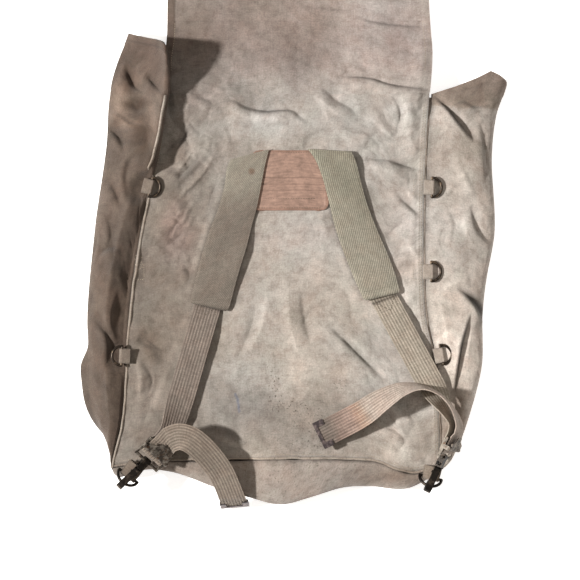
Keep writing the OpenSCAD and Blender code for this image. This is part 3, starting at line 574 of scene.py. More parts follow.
# Colour of the old canvas: dirt, stains, and painted shade and highlight, as [x, y, half width, half height]
# in photo pixels, amount, colour
CLEAN = np.array([0.396, 0.364, 0.334])
BROWN, GREY, GREEN, PINK, PALE = ((0.52, 0.44, 0.37), (0.62, 0.61, 0.60), (0.72, 0.75, 0.68),
                                  (1.0, 0.87, 0.86), (1.14, 1.16, 1.19))
STAINS_AND_PAINTED_LIGHT = [
    (180, 230, 46, 110, 0.55, BROWN), (165, 350, 40, 90, 0.35, BROWN), (180, 60, 50, 60, 0.40, BROWN),
    (200, 150, 40, 40, 0.25, GREY), (250, 30, 110, 40, 0.35, (0.72, 0.62, 0.56)),
    (300, 70, 60, 30, 0.15, BROWN), (300, 40, 140, 60, 0.30, PINK), (410, 40, 40, 60, 0.30, PINK),
    (280, 125, 60, 18, 0.6, PALE), (330, 110, 40, 25, 0.35, PALE), (390, 120, 35, 35, 0.25, PALE),
    (300, 415, 75, 34, 0.42, GREY), (262, 402, 40, 18, 0.35, GREY), (345, 400, 40, 30, 0.30, GREY),
    (220, 425, 40, 20, 0.25, GREY), (290, 300, 60, 60, 0.20, PALE), (300, 235, 50, 16, 0.25, PINK),
    (400, 220, 25, 30, 0.25, PINK), (405, 265, 22, 16, 0.35, (0.92, 0.76, 0.70)),
    # the grey patch at (370, 476) is painted shade where the bottom gusset tilts away
    (390, 170, 30, 20, 0.20, GREY), (330, 450, 60, 10, 0.2, BROWN), (370, 476, 60, 14, 0.75, GREY),
    (300, 420, 90, 34, 0.45, (0.55, 0.53, 0.51)), (265, 128, 50, 16, 0.4, PALE),
    (165, 472, 30, 12, 0.5, BROWN), (400, 476, 30, 10, 0.5, BROWN), (212, 330, 20, 50, 0.2, GREEN),
    # from (128, 82) to (100, 345): painted shade in the left gusset's hollows, painted highlight on its lit
    # ridges
    (352, 330, 20, 40, 0.15, GREEN), (150, 345, 16, 20, 0.45, BROWN), (128, 82, 7, 16, 0.75, BROWN),
    (136, 104, 16, 7, 0.75, BROWN), (117, 122, 9, 7, 0.6, BROWN), (138, 142, 12, 16, 0.6, BROWN),
    (140, 70, 14, 18, 0.9, (1.35, 1.35, 1.33)), (138, 88, 7, 9, 0.9, (1.3, 1.3, 1.28)),
    (130, 124, 15, 5, 0.9, (1.35, 1.33, 1.3)), (112, 150, 9, 14, 0.50, PALE), (106, 215, 9, 24, 0.60, PALE),
    (114, 250, 11, 7, 0.45, BROWN), (103, 272, 8, 14, 0.35, BROWN), (109, 302, 11, 14, 0.60, PALE),
    (100, 345, 9, 12, 0.40, BROWN), (468, 250, 16, 24, 0.50, GREY), (466, 145, 16, 18, 0.35, BROWN),
    (450, 200, 14, 20, 0.20, BROWN), (480, 175, 10, 30, 0.30, BROWN), (205, 118, 34, 30, 0.45, PALE),
    (200, 100, 30, 16, 0.35, PINK), (176, 235, 26, 40, 0.3, PINK),
    # (457, 404): painted shadow between the right tail's arch and the gusset
    (457, 404, 11, 34, 0.75, (0.40, 0.35, 0.32)), (448, 424, 14, 16, 0.4, BROWN),
    # (146, 140): painted shade where the left gusset falls to its seam; (122, 92): painted highlight on the
    # lit wing
    (146, 140, 11, 42, 0.8, (0.60, 0.53, 0.47)), (122, 92, 12, 30, 0.8, (1.4, 1.4, 1.4)),
    (155, 440, 26, 26, 0.45, BROWN), (425, 440, 22, 26, 0.20, BROWN), (270, 330, 22, 26, 0.15, GREY),
    (285, 80, 55, 20, 0.7, (1.24, 1.24, 1.24)), (265, 360, 40, 32, 0.7, (1.20, 1.22, 1.22)),
    (402, 450, 30, 18, 0.7, (1.25, 1.25, 1.25)), (178, 240, 24, 36, 0.7, (1.22, 1.12, 1.16)),
    # (120, 92): painted highlight on the lit top of the left wing
    (120, 92, 14, 34, 0.7, (1.25, 1.25, 1.25)), (86, 380, 10, 26, 0.8, (1.20, 1.24, 1.26)),
]
# Painted shade by the columns of the photograph, deeper towards the left, and a stroke of ink in its pixels
COLUMN_SHADE = [[80, 0.57], [140, 0.62], [190, 0.78], [250, 0.92], [310, 1.01], [390, 1.22], [440, 1.27],
               [520, 1.26]]
INK, INK_STROKE = (0.13, 0.15, 0.20), np.array([[235, 393], [238, 399], [239.5, 411]], float)
SEAM_SHADE_W = 2.2


def dim(tint, factor):
    """Multiplies the colour of a tint by a factor for each point."""
    tint[..., :3] *= np.asarray(factor)[..., None]


def wash(tint, colour, amount, start=1.0):
    """Multiplies the colour of a tint by start where amount is 0, and by colour where it is 1."""
    tint[..., :3] *= lerp(np.ones(3) * start, np.array(colour), np.asarray(amount)[..., None])


def paint(tint, colour, amount):
    """Lays a colour over a tint, as far as amount says."""
    tint[..., :3] = lerp(tint[..., :3], np.array(colour), np.asarray(amount)[..., None])


def canvas_tint(where, base=(1, 1, 1), speck=0.0, seed=3):
    """Canvas colour at a place of the bag: painted shade by column, mottling, stains, painted shade and
    highlight, specks in alpha.
    """
    x, y = where[..., 0], where[..., 1]
    px, py = x / PX_MM + PHOTO_MID, PHOTO_MID - y / PX_MM
    colour = np.ones(np.shape(x) + (3,)) * CLEAN * np.array(base)
    # painted shade, deeper towards the left
    colour *= spline(COLUMN_SHADE, px)[..., None] ** np.array([1.0, 1.06, 1.12])
    wash(colour, (0.83, 0.79, 0.79), ease((y - 215) / 60))
    mottle = 0.26 * fractal(x, y, 60, seed, 4) + 0.15 * fractal(x, y, 22, seed + 70, 4)
    colour *= 1 + mottle[..., None] * np.array([0.95, 1.0, 1.06])
    colour *= 1 + fractal(x, y, 90, seed + 40, 3)[..., None] * np.array([0.05, 0.0, -0.05])
    # stains, and patches of painted shade and painted highlight
    for cx, cy, rx, ry, amount, patch_colour in STAINS_AND_PAINTED_LIGHT:
        far = np.hypot((px - cx) / rx, (py - cy) / ry) + 0.35 * fractal(x, y, 24, int(cx + cy), 3)
        wash(colour, patch_colour, amount * ease(1.25 - far))
    far, _, share = to_line(px, py, INK_STROKE)
    paint(colour, INK, 0.75 * ease(1.7 - far) * (share > 0.01))
    low = ease(1.3 - np.hypot((px - 318) / 85, (py - 405) / 55)) * ease(0.35 + 1.4 * noise(x, y, 26, 55))
    alpha = np.clip(speck + 0.95 * low + 0.10, 0, 1)
    # painted shade along the lines, and painted highlight where h is below 0
    for line, w, h in PAINTED_SHADING_LINES:
        far, _, share = to_line(x, y, line)
        dim(colour, 1 - h * fade(share, 0.6) * np.exp(-(far / w) ** 2))
    return np.concatenate([np.clip(colour, 0.01, 0.95), alpha[..., None]], -1)


def crease_shade_and_wear(tint, where, creases):
    """Painted shade in the valleys of creases, and rubbed cloth on their ridges."""
    for line, w, h in creases:
        far, _, share = to_line(where[..., 0], where[..., 1], line)
        dim(tint, 1 + np.clip(0.05 * h, -0.26, 0.15) * fade(share, 0.8) * np.exp(-(far / (0.9 * w)) ** 2))
    return tint


def seam_dirt_and_shade(tint, where, near, amount):
    """Darkens a tint where cloth runs into a seam, as dirt and painted shade; near is the distance from it in
    millimetres.
    """
    patchy = np.clip(0.75 + 0.5 * fractal(where[..., 0], where[..., 1], 26, 19, 3), 0, 1)
    dim(tint, 1 - amount * patchy * np.exp(-(near / SEAM_SHADE_W) ** 2))


def even_tint(shape, colour, seed, spread=0.12, size=30, alpha=0.08):
    """Colour of a strap: even, with faint blotches along it."""
    i, j = np.meshgrid(np.arange(shape[0]) * 1.3, np.arange(shape[1]) * 1.3, indexing="ij")
    blotch = fractal(i, j, size, seed, 3)[..., None]
    rgb = np.array(colour) * (1 + spread * blotch * np.array([1, 1.03, 1.06]))
    return np.concatenate([rgb, np.full(shape + (1,), alpha)], -1)


# Folds that several of the tables below have in common, in photo pixels
TOP_FOLD = [(222, 101), (235, 102), (247, 108), (265, 112), (290, 111), (299, 117), (308, 125)]
RIGHT_TOP_FOLD = [(340, 77), (356, 77), (372, 79), (390, 85), (407, 88), (430, 91)]
RIGHT_FOLD = [(365, 160), (387, 161), (402, 166), (424, 172)]
RIGHT_STRAP_FOLD = [(394, 190), (406, 204), (422, 219)]
MIDDLE_FOLD = [(327, 325), (345, 342), (365, 362), (386, 382)]
LEFT_TOP_FOLD = [(190, 126), (182, 140), (176, 152)]
LEFT_FOLD = [(212, 152), (196, 168), (180, 184), (168, 196)]
LEFT_LOW_FOLD = [(143, 336), (154, 346), (163, 352)]
FLAP_FOLD = [(352, 11), (372, 19), (400, 23), (431, 25)]
FLAP_MIDDLE_FOLD = [(300, 4), (330, 6), (352, 11)]
BOTTOM_LEFT_FOLD = [(196, 428), (226, 436), (254, 444)]
BOTTOM_RIGHT_FOLD = [(390, 394), (407, 407), (421, 418)]
GUSSET_FOLD = [(470, 205), (476, 230), (490, 246)]

# Creases of the back panel and the flap: points in photo pixels, width and height in millimetres
CREASES = traced([
    ([(222, 101), (235, 103), (247, 109), (265, 112), (290, 111), (299, 117), (306, 124)], 3.2, -4.2),
    ([(226, 108), (245, 117), (268, 120), (296, 122)], 6.0, 3.2),
    ([(191, 96), (205, 100), (215, 105)], 3.0, -2.4), ([(196, 104), (208, 110), (222, 112)], 3.0, 2.0),
    ([(186, 118), (196, 130), (205, 134)], 3.0, -2.0), ([(205, 84), (222, 92), (240, 94)], 5.0, 2.2),
    ([(165, 195), (182, 175), (197, 160), (205, 150)], 6.0, -5.0),
    ([(172, 204), (192, 186), (206, 170), (216, 152)], 6.0, 4.0),
    ([(173, 178), (188, 158), (198, 142)], 4.5, 3.2), ([(176, 150), (184, 138), (190, 126)], 4.0, -3.2),
    ([(217, 222), (211, 203), (216, 186), (227, 172)], 5.0, -4.0),
    ([(157, 160), (166, 152), (176, 140)], 3.0, -2.8), ([(158, 170), (172, 164)], 3.0, 2.0),
    ([(340, 77), (356, 77), (372, 79), (390, 85), (407, 88), (428, 90)], 2.6, -4.0),
    ([(345, 84), (372, 87), (395, 94), (425, 99)], 6.0, 3.0), (FLAP_FOLD, 2.8, -2.6),
    (FLAP_MIDDLE_FOLD, 3.0, -1.6), ([(392, 95), (400, 112), (397, 131)], 3.5, -3.0),
    ([(400, 96), (407, 112), (404, 130)], 4.0, 2.2),
    ([(320, 85), (335, 100), (352, 110), (360, 122)], 4.5, -2.8),
    ([(314, 95), (330, 108), (346, 118)], 5.0, 2.2), ([(365, 118), (380, 124), (392, 138)], 4.5, 2.2),
    ([(360, 130), (374, 140), (384, 152)], 4.5, -2.0),
    ([(365, 160), (387, 162), (402, 166), (424, 172)], 3.6, -3.0),
    ([(368, 168), (388, 172), (410, 182)], 6.0, 3.4), ([(394, 192), (406, 205), (421, 218)], 4.0, -3.4),
    ([(402, 186), (414, 198), (424, 206)], 4.0, 2.4), ([(182, 262), (190, 275), (186, 286)], 6.0, -3.6),
    ([(194, 255), (200, 272), (196, 290)], 6.0, 2.6), ([(160, 250), (176, 240), (190, 226)], 5.0, -2.6),
    ([(172, 225), (180, 214), (190, 208)], 4.0, 2.4), ([(137, 338), (150, 346), (160, 352)], 4.0, -3.4),
    ([(142, 360), (152, 378), (148, 394)], 4.0, -3.0), ([(133, 352), (141, 374), (139, 400)], 4.0, 2.4),
    ([(152, 402), (160, 420), (172, 432)], 5.0, -2.6), (MIDDLE_FOLD, 4.2, -3.4),
    ([(336, 322), (356, 342), (378, 364)], 7.0, 2.2), ([(300, 287), (305, 325), (313, 352)], 6.0, -2.2),
    ([(286, 290), (292, 330), (300, 356)], 7.0, 1.8), ([(268, 296), (262, 325), (250, 352)], 8.0, 1.8),
    ([(256, 300), (250, 330), (236, 360)], 7.0, -2.0),
    ([(205, 435), (230, 444), (250, 451), (266, 457)], 3.6, 2.8), (BOTTOM_LEFT_FOLD, 5.0, -2.8),
    (BOTTOM_RIGHT_FOLD, 4.0, -3.0), ([(380, 398), (396, 412), (404, 430)], 4.0, 2.6),
    ([(372, 428), (392, 424), (404, 432), (394, 446)], 4.0, -2.6),
    ([(420, 425), (428, 440), (424, 455)], 4.0, -2.4), ([(240, 40), (232, 70), (226, 90)], 12.0, 1.6),
    ([(300, 20), (296, 60), (300, 100)], 14.0, -1.6), ([(360, 30), (350, 60), (330, 80)], 12.0, 1.4),
    ([(255, 372), (290, 386), (330, 384)], 9.0, -1.6), ([(240, 418), (280, 428), (330, 424)], 8.0, 1.6),
    ([(385, 240), (398, 226), (414, 216)], 4.5, -2.4), ([(404, 240), (414, 252), (421, 262)], 4.0, 1.8),
    ([(405, 300), (414, 318), (424, 330)], 4.0, -2.2),
])

# Folds that stand over what is to their left as the points run: points, width, height, and the share of
# the length where they are highest
LIPS = traced([
    (TOP_FOLD, 9.0, 2.6, 0.45), (RIGHT_TOP_FOLD, 8.0, 2.4, 0.6), (RIGHT_FOLD, 8.0, 2.2, 0.5),
    (RIGHT_STRAP_FOLD, 7.0, 2.4, 0.6), (MIDDLE_FOLD, 8.0, 2.0, 0.5), (LEFT_TOP_FOLD, 6.0, 2.4, 0.5),
    (LEFT_FOLD, 8.0, 3.0, 0.5), ([(187, 258), (194, 272), (188, 288)], 7.0, 2.4, 0.5),
    ([(226, 176), (213, 194), (215, 222)], 6.0, 2.4, 0.5), (LEFT_LOW_FOLD, 6.0, 2.4, 0.6),
    ([(150, 362), (156, 380), (150, 398)], 6.0, 2.2, 0.5), (BOTTOM_LEFT_FOLD, 6.0, 2.0, 0.5),
    (BOTTOM_RIGHT_FOLD, 6.0, 2.2, 0.5),
])

# Long edges of the upper straps as read off the photograph, from the sewn end down
PAD_EDGES = {
    -1: ([(230.5, 160), (227, 170), (224.5, 188), (218.5, 209), (208.5, 235), (200, 264), (193, 292),
          (190.5, 303)],
         [(269, 150), (265, 166), (261, 187), (257, 207), (252, 226), (246.5, 248), (238, 276),
          (228.5, 311.5)]),
    1: ([(307.5, 149.5), (314.5, 159), (320.5, 173), (326, 191), (334.5, 226), (344, 254), (354, 279),
         (364, 301)],
        [(351, 152.5), (356, 164), (360.5, 182), (366.5, 204), (376.5, 230), (387, 254), (394, 273),
         (399.5, 292.5)])}

# Painted shade in creases, slits and along the straps' edges, and painted highlight where the amount is below
# 0:
# points, width in millimetres, how much it darkens
PAINTED_SHADING_LINES = traced([
    (TOP_FOLD, 1.5, 0.42), (RIGHT_TOP_FOLD, 1.3, 0.40), (FLAP_FOLD, 1.6, 0.28),
    (FLAP_MIDDLE_FOLD, 2.0, 0.2), (RIGHT_FOLD, 1.4, 0.30), (RIGHT_STRAP_FOLD, 1.5, 0.35),
    (MIDDLE_FOLD, 2.2, 0.25), (LEFT_TOP_FOLD, 1.6, 0.25), (LEFT_FOLD, 2.4, 0.25),
    (LEFT_LOW_FOLD, 1.6, 0.35), ([(170, 200), (188, 180), (205, 157)], 5.0, 0.24),
    ([(205, 224), (212, 204), (221, 186)], 5.0, 0.24), ([(171, 152), (181, 139), (192, 125)], 4.0, 0.24),
    ([(180, 206), (197, 187), (212, 168)], 3.5, -0.16), ([(176, 172), (190, 158), (200, 144)], 3.0, -0.16),
    ([(222, 108), (246, 117), (290, 120)], 6.0, -0.10), ([(182, 268), (190, 278), (184, 292)], 4.0, 0.22),
    ([(148, 344), (158, 356), (156, 372)], 5.0, 0.30),
    ([(433, 96), (440, 103), (447, 110), (458, 124), (471, 140)], 2.0, 0.8),
    ([(450, 108), (462, 103), (474, 108), (492, 105)], 1.5, 0.45),
    ([(470, 313), (464, 334), (460, 350), (454, 396)], 1.9, 0.92),
    ([(456, 288), (466, 296), (476, 308), (482, 321)], 2.2, 0.7),
    ([(461, 290), (472, 299), (481, 311), (484, 326)], 5.0, 0.85), (GUSSET_FOLD, 1.6, 0.3),
] + [(edge, 2.4, 0.34) for pair in PAD_EDGES.values() for edge in pair])


def web_start(side):
    """Where a web starts, under the sewn end of its upper strap."""
    return pad_point(side, PAD_L - WEB_SEWN_L, side * WEB_SHIFT)


def pad_middle(side, first, last):
    """The middle line of an upper strap between two lengths, from above."""
    return np.stack([pad_point(side, l, 0.0)[:2] for l in (first, last)])


def pad_cover(x, y):
    """1 where a strap, a web, the patch or the upper left ring lies, so that no crease pokes through it."""
    inside = np.maximum(np.abs(x) - PATCH_W / 2, np.abs(y - PATCH_TOP + PATCH_H / 2) - PATCH_H / 2)
    cover = np.maximum(ease((8 - inside) / 8), ease((27 - np.hypot(x + 151, y - 123)) / 11))
    for side, _ in SIDES:
        web = np.stack([web_start(side)[:2], at(BUCKLE[side], (0, HOOK_L + MIDDLE_Y, 0))[:2]])
        for line, width, margin in ((pad_middle(side, 0.0, PAD_L), PAD_W, 9), (web, WEB_W, 8)):
            cover = np.maximum(cover, ease((width / 2 + margin - to_line(x, y, line)[0]) / margin))
    return cover


def pad_bed(x, y):
    """1 where the panel lies close up under an upper strap, between the patch and the strap's sewn end."""
    bed = np.zeros(np.shape(x))
    for side, _ in SIDES:
        far = to_line(x, y, pad_middle(side, 84.0, PAD_L - 34))[0]
        bed = np.maximum(bed, ease((PAD_W / 2 + 22 - far) / 22))
    return bed


def folded(x, y, creases):
    """Height of creases: sharp lines with one flank steeper than the other, that die out at the ends."""
    z = np.zeros(np.shape(x))
    for line, w, h in creases:
        far, side, share = to_line(x, y, line)
        z = z + h * fade(share, 0.8) * np.exp(-np.sqrt(far ** 2 + 0.4) / (w * (1.5 + 0.8 * side)))
    return z


def lips(x, y, folds):
    """Height of folds whose one side stands over the other, highest at a share of their length."""
    z = np.zeros(np.shape(x))
    for line, w, h, peak in folds:
        far, side, share = to_line(x, y, line)
        ends = np.sin(np.pi * np.clip(share, 0.001, 0.999) ** (math.log(0.5) / math.log(peak)))
        over = 0.5 - 0.5 * np.tanh(side * far / (0.9 if h > 5 else 2.6))
        z = z + h * ends * (over * np.exp(-far / w) - 0.35 * (1 - over) * np.exp(-far / (0.6 * w)))
    return z


def facets(x, y, size, seed, turn, stretch=0.6):
    """Crumpled cloth: faces at different slopes between sharp creases that run mostly one way."""
    c, s = math.cos(turn), math.sin(turn)
    a = c * x + s * y + 0.35 * size * noise(x, y, 0.8 * size, seed + 1)
    b = stretch * (c * y - s * x) + 0.35 * size * noise(x, y, 0.8 * size, seed + 2)
    n = 1.25 * noise(a, b, size, seed) + 0.35
    wave = np.abs(n - 2 * np.round(n / 2))
    return np.sqrt((wave - 0.5) ** 2 + 0.0004) * np.sign(wave - 0.5)


def wrinkles(x, y):
    """Height of creases and small dents on the panel and the flap."""
    z = 1.6 * folded(x, y, CREASES) + 1.15 * lips(x, y, LIPS)
    z = z + 3.0 * fractal(x, y, 95, 21, 2) + 0.9 * noise(x + 0.5 * y, y - 0.3 * x, 34, 5)
    top = np.exp(-((y - 185) / 62) ** 2)
    edge = np.exp(-((np.abs(x - 8) - 155) / 40) ** 2)
    pulled = np.exp(-((x + 112) / 52) ** 2 - ((y - 138) / 85) ** 2)
    z = z + pulled * (6.5 * facets(x, y, 40, 91, -0.8, 0.3) + 2.6 * facets(x, y, 19, 97, -0.6, 0.4))
    net = 0.5 + 0.9 * top + 0.9 * edge + 0.6 * pulled
    return z + net * (3.0 * facets(x, y, 58, 61, 0.5) + 1.9 * facets(x, y, 30, 71, 2.0)
                      + 0.8 * facets(x, y, 15, 81, 1.1))


# How far the flap's edges stand out past the seams, by the length past the fold
FLAP_FLARE = {-1: [[0, 4.5], [6, 6], [14, 6], [45, 6], [62, 4], [78, 3], [360, 3]],
              1: [[0, 0.6], [8, 2.2], [50, 5.5], [80, 4], [120, 2], [360, 0]]}


def back_surface(u, y):
    """Middle surface of the panel and the flap as one cloth, by the share of the width and by Y."""
    t = (y - BOTTOM_Y) / PANEL_H
    on = np.clip(t, 0, 1)
    past = np.clip(y - FOLD_Y, 0, None)
    x0 = seam_x(-1, on) + PANEL_GAP[-1] - spline(FLAP_FLARE[-1], past)
    x1 = seam_x(1, on) - PANEL_GAP[1] + spline(FLAP_FLARE[1], past)
    x = lerp(x0, x1, u)
    fall = lerp(SEAM_TOP_Z, CREASE_Z, np.clip(past / (CREASE_Y - FOLD_Y), 0, 1))
    bend = 3.0 * np.exp(-(past / 26) ** 2) + 2.2 * np.exp(-((y - CREASE_Y) / 22) ** 2)
    z = np.where(y < FOLD_Y, panel_lift(u, on) + 3.0 * np.exp(-((FOLD_Y - y) / 26) ** 2), fall + bend)
    edge = ease(u / 0.045) * ease((1 - u) / 0.045) * ease((y - BOTTOM_Y) / 14)
    flat = edge * (1 - 0.88 * pad_cover(x, y)) * lerp(1.0, 0.4, ease((y - 290) / 50))
    z = z + wrinkles(x, y) * flat + 0.5 * pad_bed(x, y)
    strip = (x1 - x < 7.5) * (y < FOLD_Y)
    z = z + strip * (0.7 + 0.35 * noise(np.zeros_like(x), y, 5, 14))
    z = np.where(y > CREASE_Y + 10, np.maximum(z, CREASE_Z + 0.4), z)
    return np.stack([x, y + spline(BOTTOM_DROP, u) * (1 - on) ** 4 * (t < 1), z], -1)


def upward(grid):
    """Normals of a sheet, all turned up."""
    face = normals_of(grid)
    return face * np.sign(face[..., 2:3])


# Back panel
u, y = np.meshgrid(np.linspace(0, 1, 250), np.linspace(BOTTOM_Y + 1.2, FOLD_Y, 310))
back = back_surface(u, y)
tint = crease_shade_and_wear(canvas_tint(back), back, CREASES)
# dirt and painted shade where the panel runs into its seams
for near, amount in ((u * 350, 0.35), ((1 - u) * 350, 0.55), (y - BOTTOM_Y, 0.6)):
    seam_dirt_and_shade(tint, back, near, amount)
piece = cloth("back_panel_cloth", back, CANVAS_T, CANVAS, tint)
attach(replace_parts(piece, "back_panel"), "bag")

# Flap: next to the fold, and past the crease. Hems are thicker, and the left one is darker, as dirt and
# painted shade.
FLAP_ROUND = 14


def hem(u):
    return 1.0 * (np.minimum(u, 1 - u) * FLAP_W < 8.5)


def flap_tint(grid, u):
    tint = canvas_tint(grid)
    # the left hem: dirt and painted shade
    wash(tint, (0.66, 0.60, 0.56), ease((10 - u * FLAP_W) / 2))
    return tint


u, y = np.meshgrid(np.linspace(0, 1, 250), np.linspace(FOLD_Y, CREASE_Y, 66))
near_flap = back_surface(u, y)
tint = crease_shade_and_wear(flap_tint(near_flap, u), near_flap, CREASES)
piece = cloth("flap_top_cloth", near_flap, CANVAS_T + HEM_T * hem(u), CANVAS, tint)
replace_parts(piece, "flap_top")
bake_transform(piece)

u, y = np.meshgrid(np.linspace(0, 1, 250), np.linspace(CREASE_Y, FLAP_END_Y, 120))
far_flap = back_surface(u, y)
end_round = np.clip((y - (FLAP_END_Y - FLAP_ROUND)) / FLAP_ROUND, 0, 1)
pull = FLAP_ROUND * (1 - np.sqrt(np.clip(1 - end_round ** 2, 0, 1)))
far_flap[..., 0] += pull * np.sign(0.5 - u) * ease((np.abs(u - 0.5) - 0.3) / 0.2)
thick = CANVAS_T + HEM_T * np.maximum(hem(u), 1.0 * (FLAP_END_Y - y < 9))
far_flap[..., 2] = np.maximum(far_flap[..., 2], thick / 2 + 0.1)
piece = cloth("flap_front_cloth", far_flap, thick, CANVAS, flap_tint(far_flap, u))
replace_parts(piece, "flap_front")
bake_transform(piece)

for grid, body, name, first in ((near_flap, "flap_upper", "flap_top", 20),
                                (far_flap, "flap_lower", "flap_front", 12)):
    face = upward(grid)
    skin = grid + face * (CANVAS_T / 2 + 0.1)
    rows = [stitch_row(skin[first:-1, k], face[first:-1, k]) for k in (7, -8)]
    stitches(f"{name}_hem_stitches", rows, THREAD, body)

# Front panel, on which the bag lies, with a bulge over each closure buckle
u, t = np.meshgrid(np.linspace(0, 1, 131), np.linspace(0, 1, 150))
x = lerp(seam_x(-1, t) - 1.0, seam_x(1, t) + 1.0, u)
y = lerp(BOTTOM_Y - 1.0, FOLD_Y - 4, t)
bulge = np.zeros_like(x)
for side, _ in SIDES:
    inside = np.maximum(np.abs(x - TOP_AXIS - CLOSURE_SPREAD * side) - 25.7, np.abs(y + 53) - 31)
    bulge = np.maximum(bulge, ease(-(inside - 1.5) / 7))
front = np.stack([x, y, CANVAS_T / 2 + 0.05 + 6.3 * bulge
                  + 0.6 * (1 - bulge) * np.clip(fractal(x, y, 60, 77, 2), 0, 1)], -1)
tint = canvas_tint(front, base=(0.85, 0.82, 0.8), seed=9)
piece = cloth("front_panel_cloth", front, CANVAS_T, CANVAS, tint)
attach(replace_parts(piece, "front_panel"), "bag")

# Side gussets. The left one stands up in a ridge near its seam, highest at its mouth. The right one is flat.
LEFT_LOBE = [[-215, 2], [-175, 2], [-164, 6], [-136, 13], [-110, 14], [-90, 12], [-66, 0], [-40, 0], [320, 0]]
LEFT_MOUTH = [[0, -4], [0.05, 8], [0.1, 24], [0.16, 44], [0.22, 56], [0.28, 64], [0.36, 70], [0.5, 74],
              [0.6, 71], [0.8, 40], [1, -4]]
RIGHT_MOUTH = [[0, 0], [0.1, 9], [0.2, 19], [0.285, 28], [0.5, 14], [0.6, 4], [1, -4]]
LEFT_RIDGE = [[0, 0], [0.1, 3], [0.2, 6], [0.3, 8], [0.4, 9], [0.5, 9], [0.6, 11], [0.7, 15], [0.8, 22],
              [0.9, 32], [1, 37]]
LEFT_CREST = [[0, 3], [0.1, 12], [0.2, 20], [0.3, 24], [0.4, 25], [0.5, 24], [0.6, 20], [0.67, 13], [0.72, 7],
              [0.78, 3], [0.85, 1], [0.91, -3], [0.95, -4.5], [1, -2]]
CREST_V, CREST_COLUMN = 0.22, 53
RIGHT_CREASES = traced([
    ([(441, 96), (452, 106), (468, 122), (482, 138)], 5.0, 3.0),
    ([(434, 112), (446, 126), (458, 142)], 9.0, 2.0), (GUSSET_FOLD, 4.0, -3.5),
    ([(462, 212), (468, 236), (482, 254)], 5.0, 2.4), ([(444, 290), (456, 284), (470, 282)], 6.0, 3.0),
    ([(474, 322), (469, 340), (466, 366)], 5.0, 2.5), ([(480, 120), (484, 150), (486, 185)], 4.0, -2.4),
    ([(452, 150), (462, 170), (470, 196)], 8.0, 2.0), ([(440, 300), (446, 330), (450, 352)], 7.0, 2.0),
    ([(447, 222), (440, 240), (446, 256)], 5.0, -1.8),
    ([(446, 96), (466, 90), (486, 84), (500, 82)], 2.4, -2.6),
    ([(470, 110), (480, 112), (493, 106)], 3.0, -2.6),
])
RIGHT_LIPS = traced([
    ([(431, 94), (440, 103), (447, 110), (458, 124), (474, 142)], 12.0, 7.5, 0.6),
    ([(454, 286), (466, 296), (476, 308), (484, 324)], 12.0, 8.0, 0.7),
    ([(471, 312), (464, 334), (460, 350), (456, 372), (453, 398)], 9.0, 6.5, 0.5),
    ([(470, 203), (476, 228), (490, 246)], 9.0, 4.0, 0.6),
    ([(446, 110), (462, 103), (474, 108), (493, 105)], 6.0, 3.5, 0.5),
    ([(478, 120), (484, 150), (484, 185)], 6.0, 3.0, 0.5),
    ([(452, 160), (466, 176), (476, 198)], 8.0, 2.6, 0.5),
    ([(442, 205), (452, 222), (450, 246)], 7.0, 2.2, 0.5),
])
LEFT_CREASES = traced([
    ([(124, 66), (128, 78), (134, 88), (146, 94)], 5.0, -6.0),
    ([(146, 76), (156, 88), (165, 96)], 4.0, -5.0), ([(136, 66), (144, 78), (152, 84)], 5.0, 3.0),
    ([(106, 112), (118, 116), (130, 126), (144, 127)], 7.0, 5.0),
    ([(108, 128), (118, 136), (126, 146)], 7.0, -4.5), ([(130, 100), (138, 110), (148, 112)], 6.0, -4.0),
    ([(128, 160), (136, 152), (150, 148)], 5.0, 3.0), ([(100, 175), (112, 190), (120, 205)], 6.0, -2.5),
    ([(96, 260), (106, 252), (118, 250)], 5.0, -3.0), ([(98, 282), (112, 276), (126, 280)], 6.0, 2.6),
    ([(92, 320), (104, 330), (112, 345)], 6.0, -2.6), ([(108, 225), (114, 252), (110, 272)], 6.0, -2.2),
])
LEFT_LIPS = traced([
    ([(124, 62), (128, 78), (135, 88), (148, 95)], 10.0, 4.9, 0.5),
    ([(143, 72), (154, 86), (166, 98)], 8.0, 4.6, 0.6),
    ([(108, 110), (120, 118), (134, 126), (148, 126)], 11.0, 4.9, 0.5),
    ([(106, 128), (116, 138), (124, 152)], 10.0, 4.6, 0.5),
    ([(104, 176), (114, 192), (120, 210)], 10.0, 4.2, 0.5),
    ([(98, 258), (108, 250), (122, 250)], 9.0, 4.0, 0.5),
    ([(94, 322), (104, 332), (112, 348)], 9.0, 4.0, 0.5),
    ([(118, 290), (112, 320), (118, 345)], 9.0, 4.2, 0.5),
    ([(132, 150), (124, 176), (128, 205)], 10.0, 4.4, 0.5),
    ([(104, 215), (110, 232), (106, 250)], 9.0, 3.6, 0.5),
])
GUSSET_FOLDS = {-1: (LEFT_CREASES, LEFT_LIPS), 1: (RIGHT_CREASES, RIGHT_LIPS)}


def rounded(share, part):
    """Rounds a reach off to next to nothing over the first part of a length."""
    return np.sqrt(np.clip(1 - np.clip(1 - share / part, 0, 1) ** 2, 0.0004, 1))


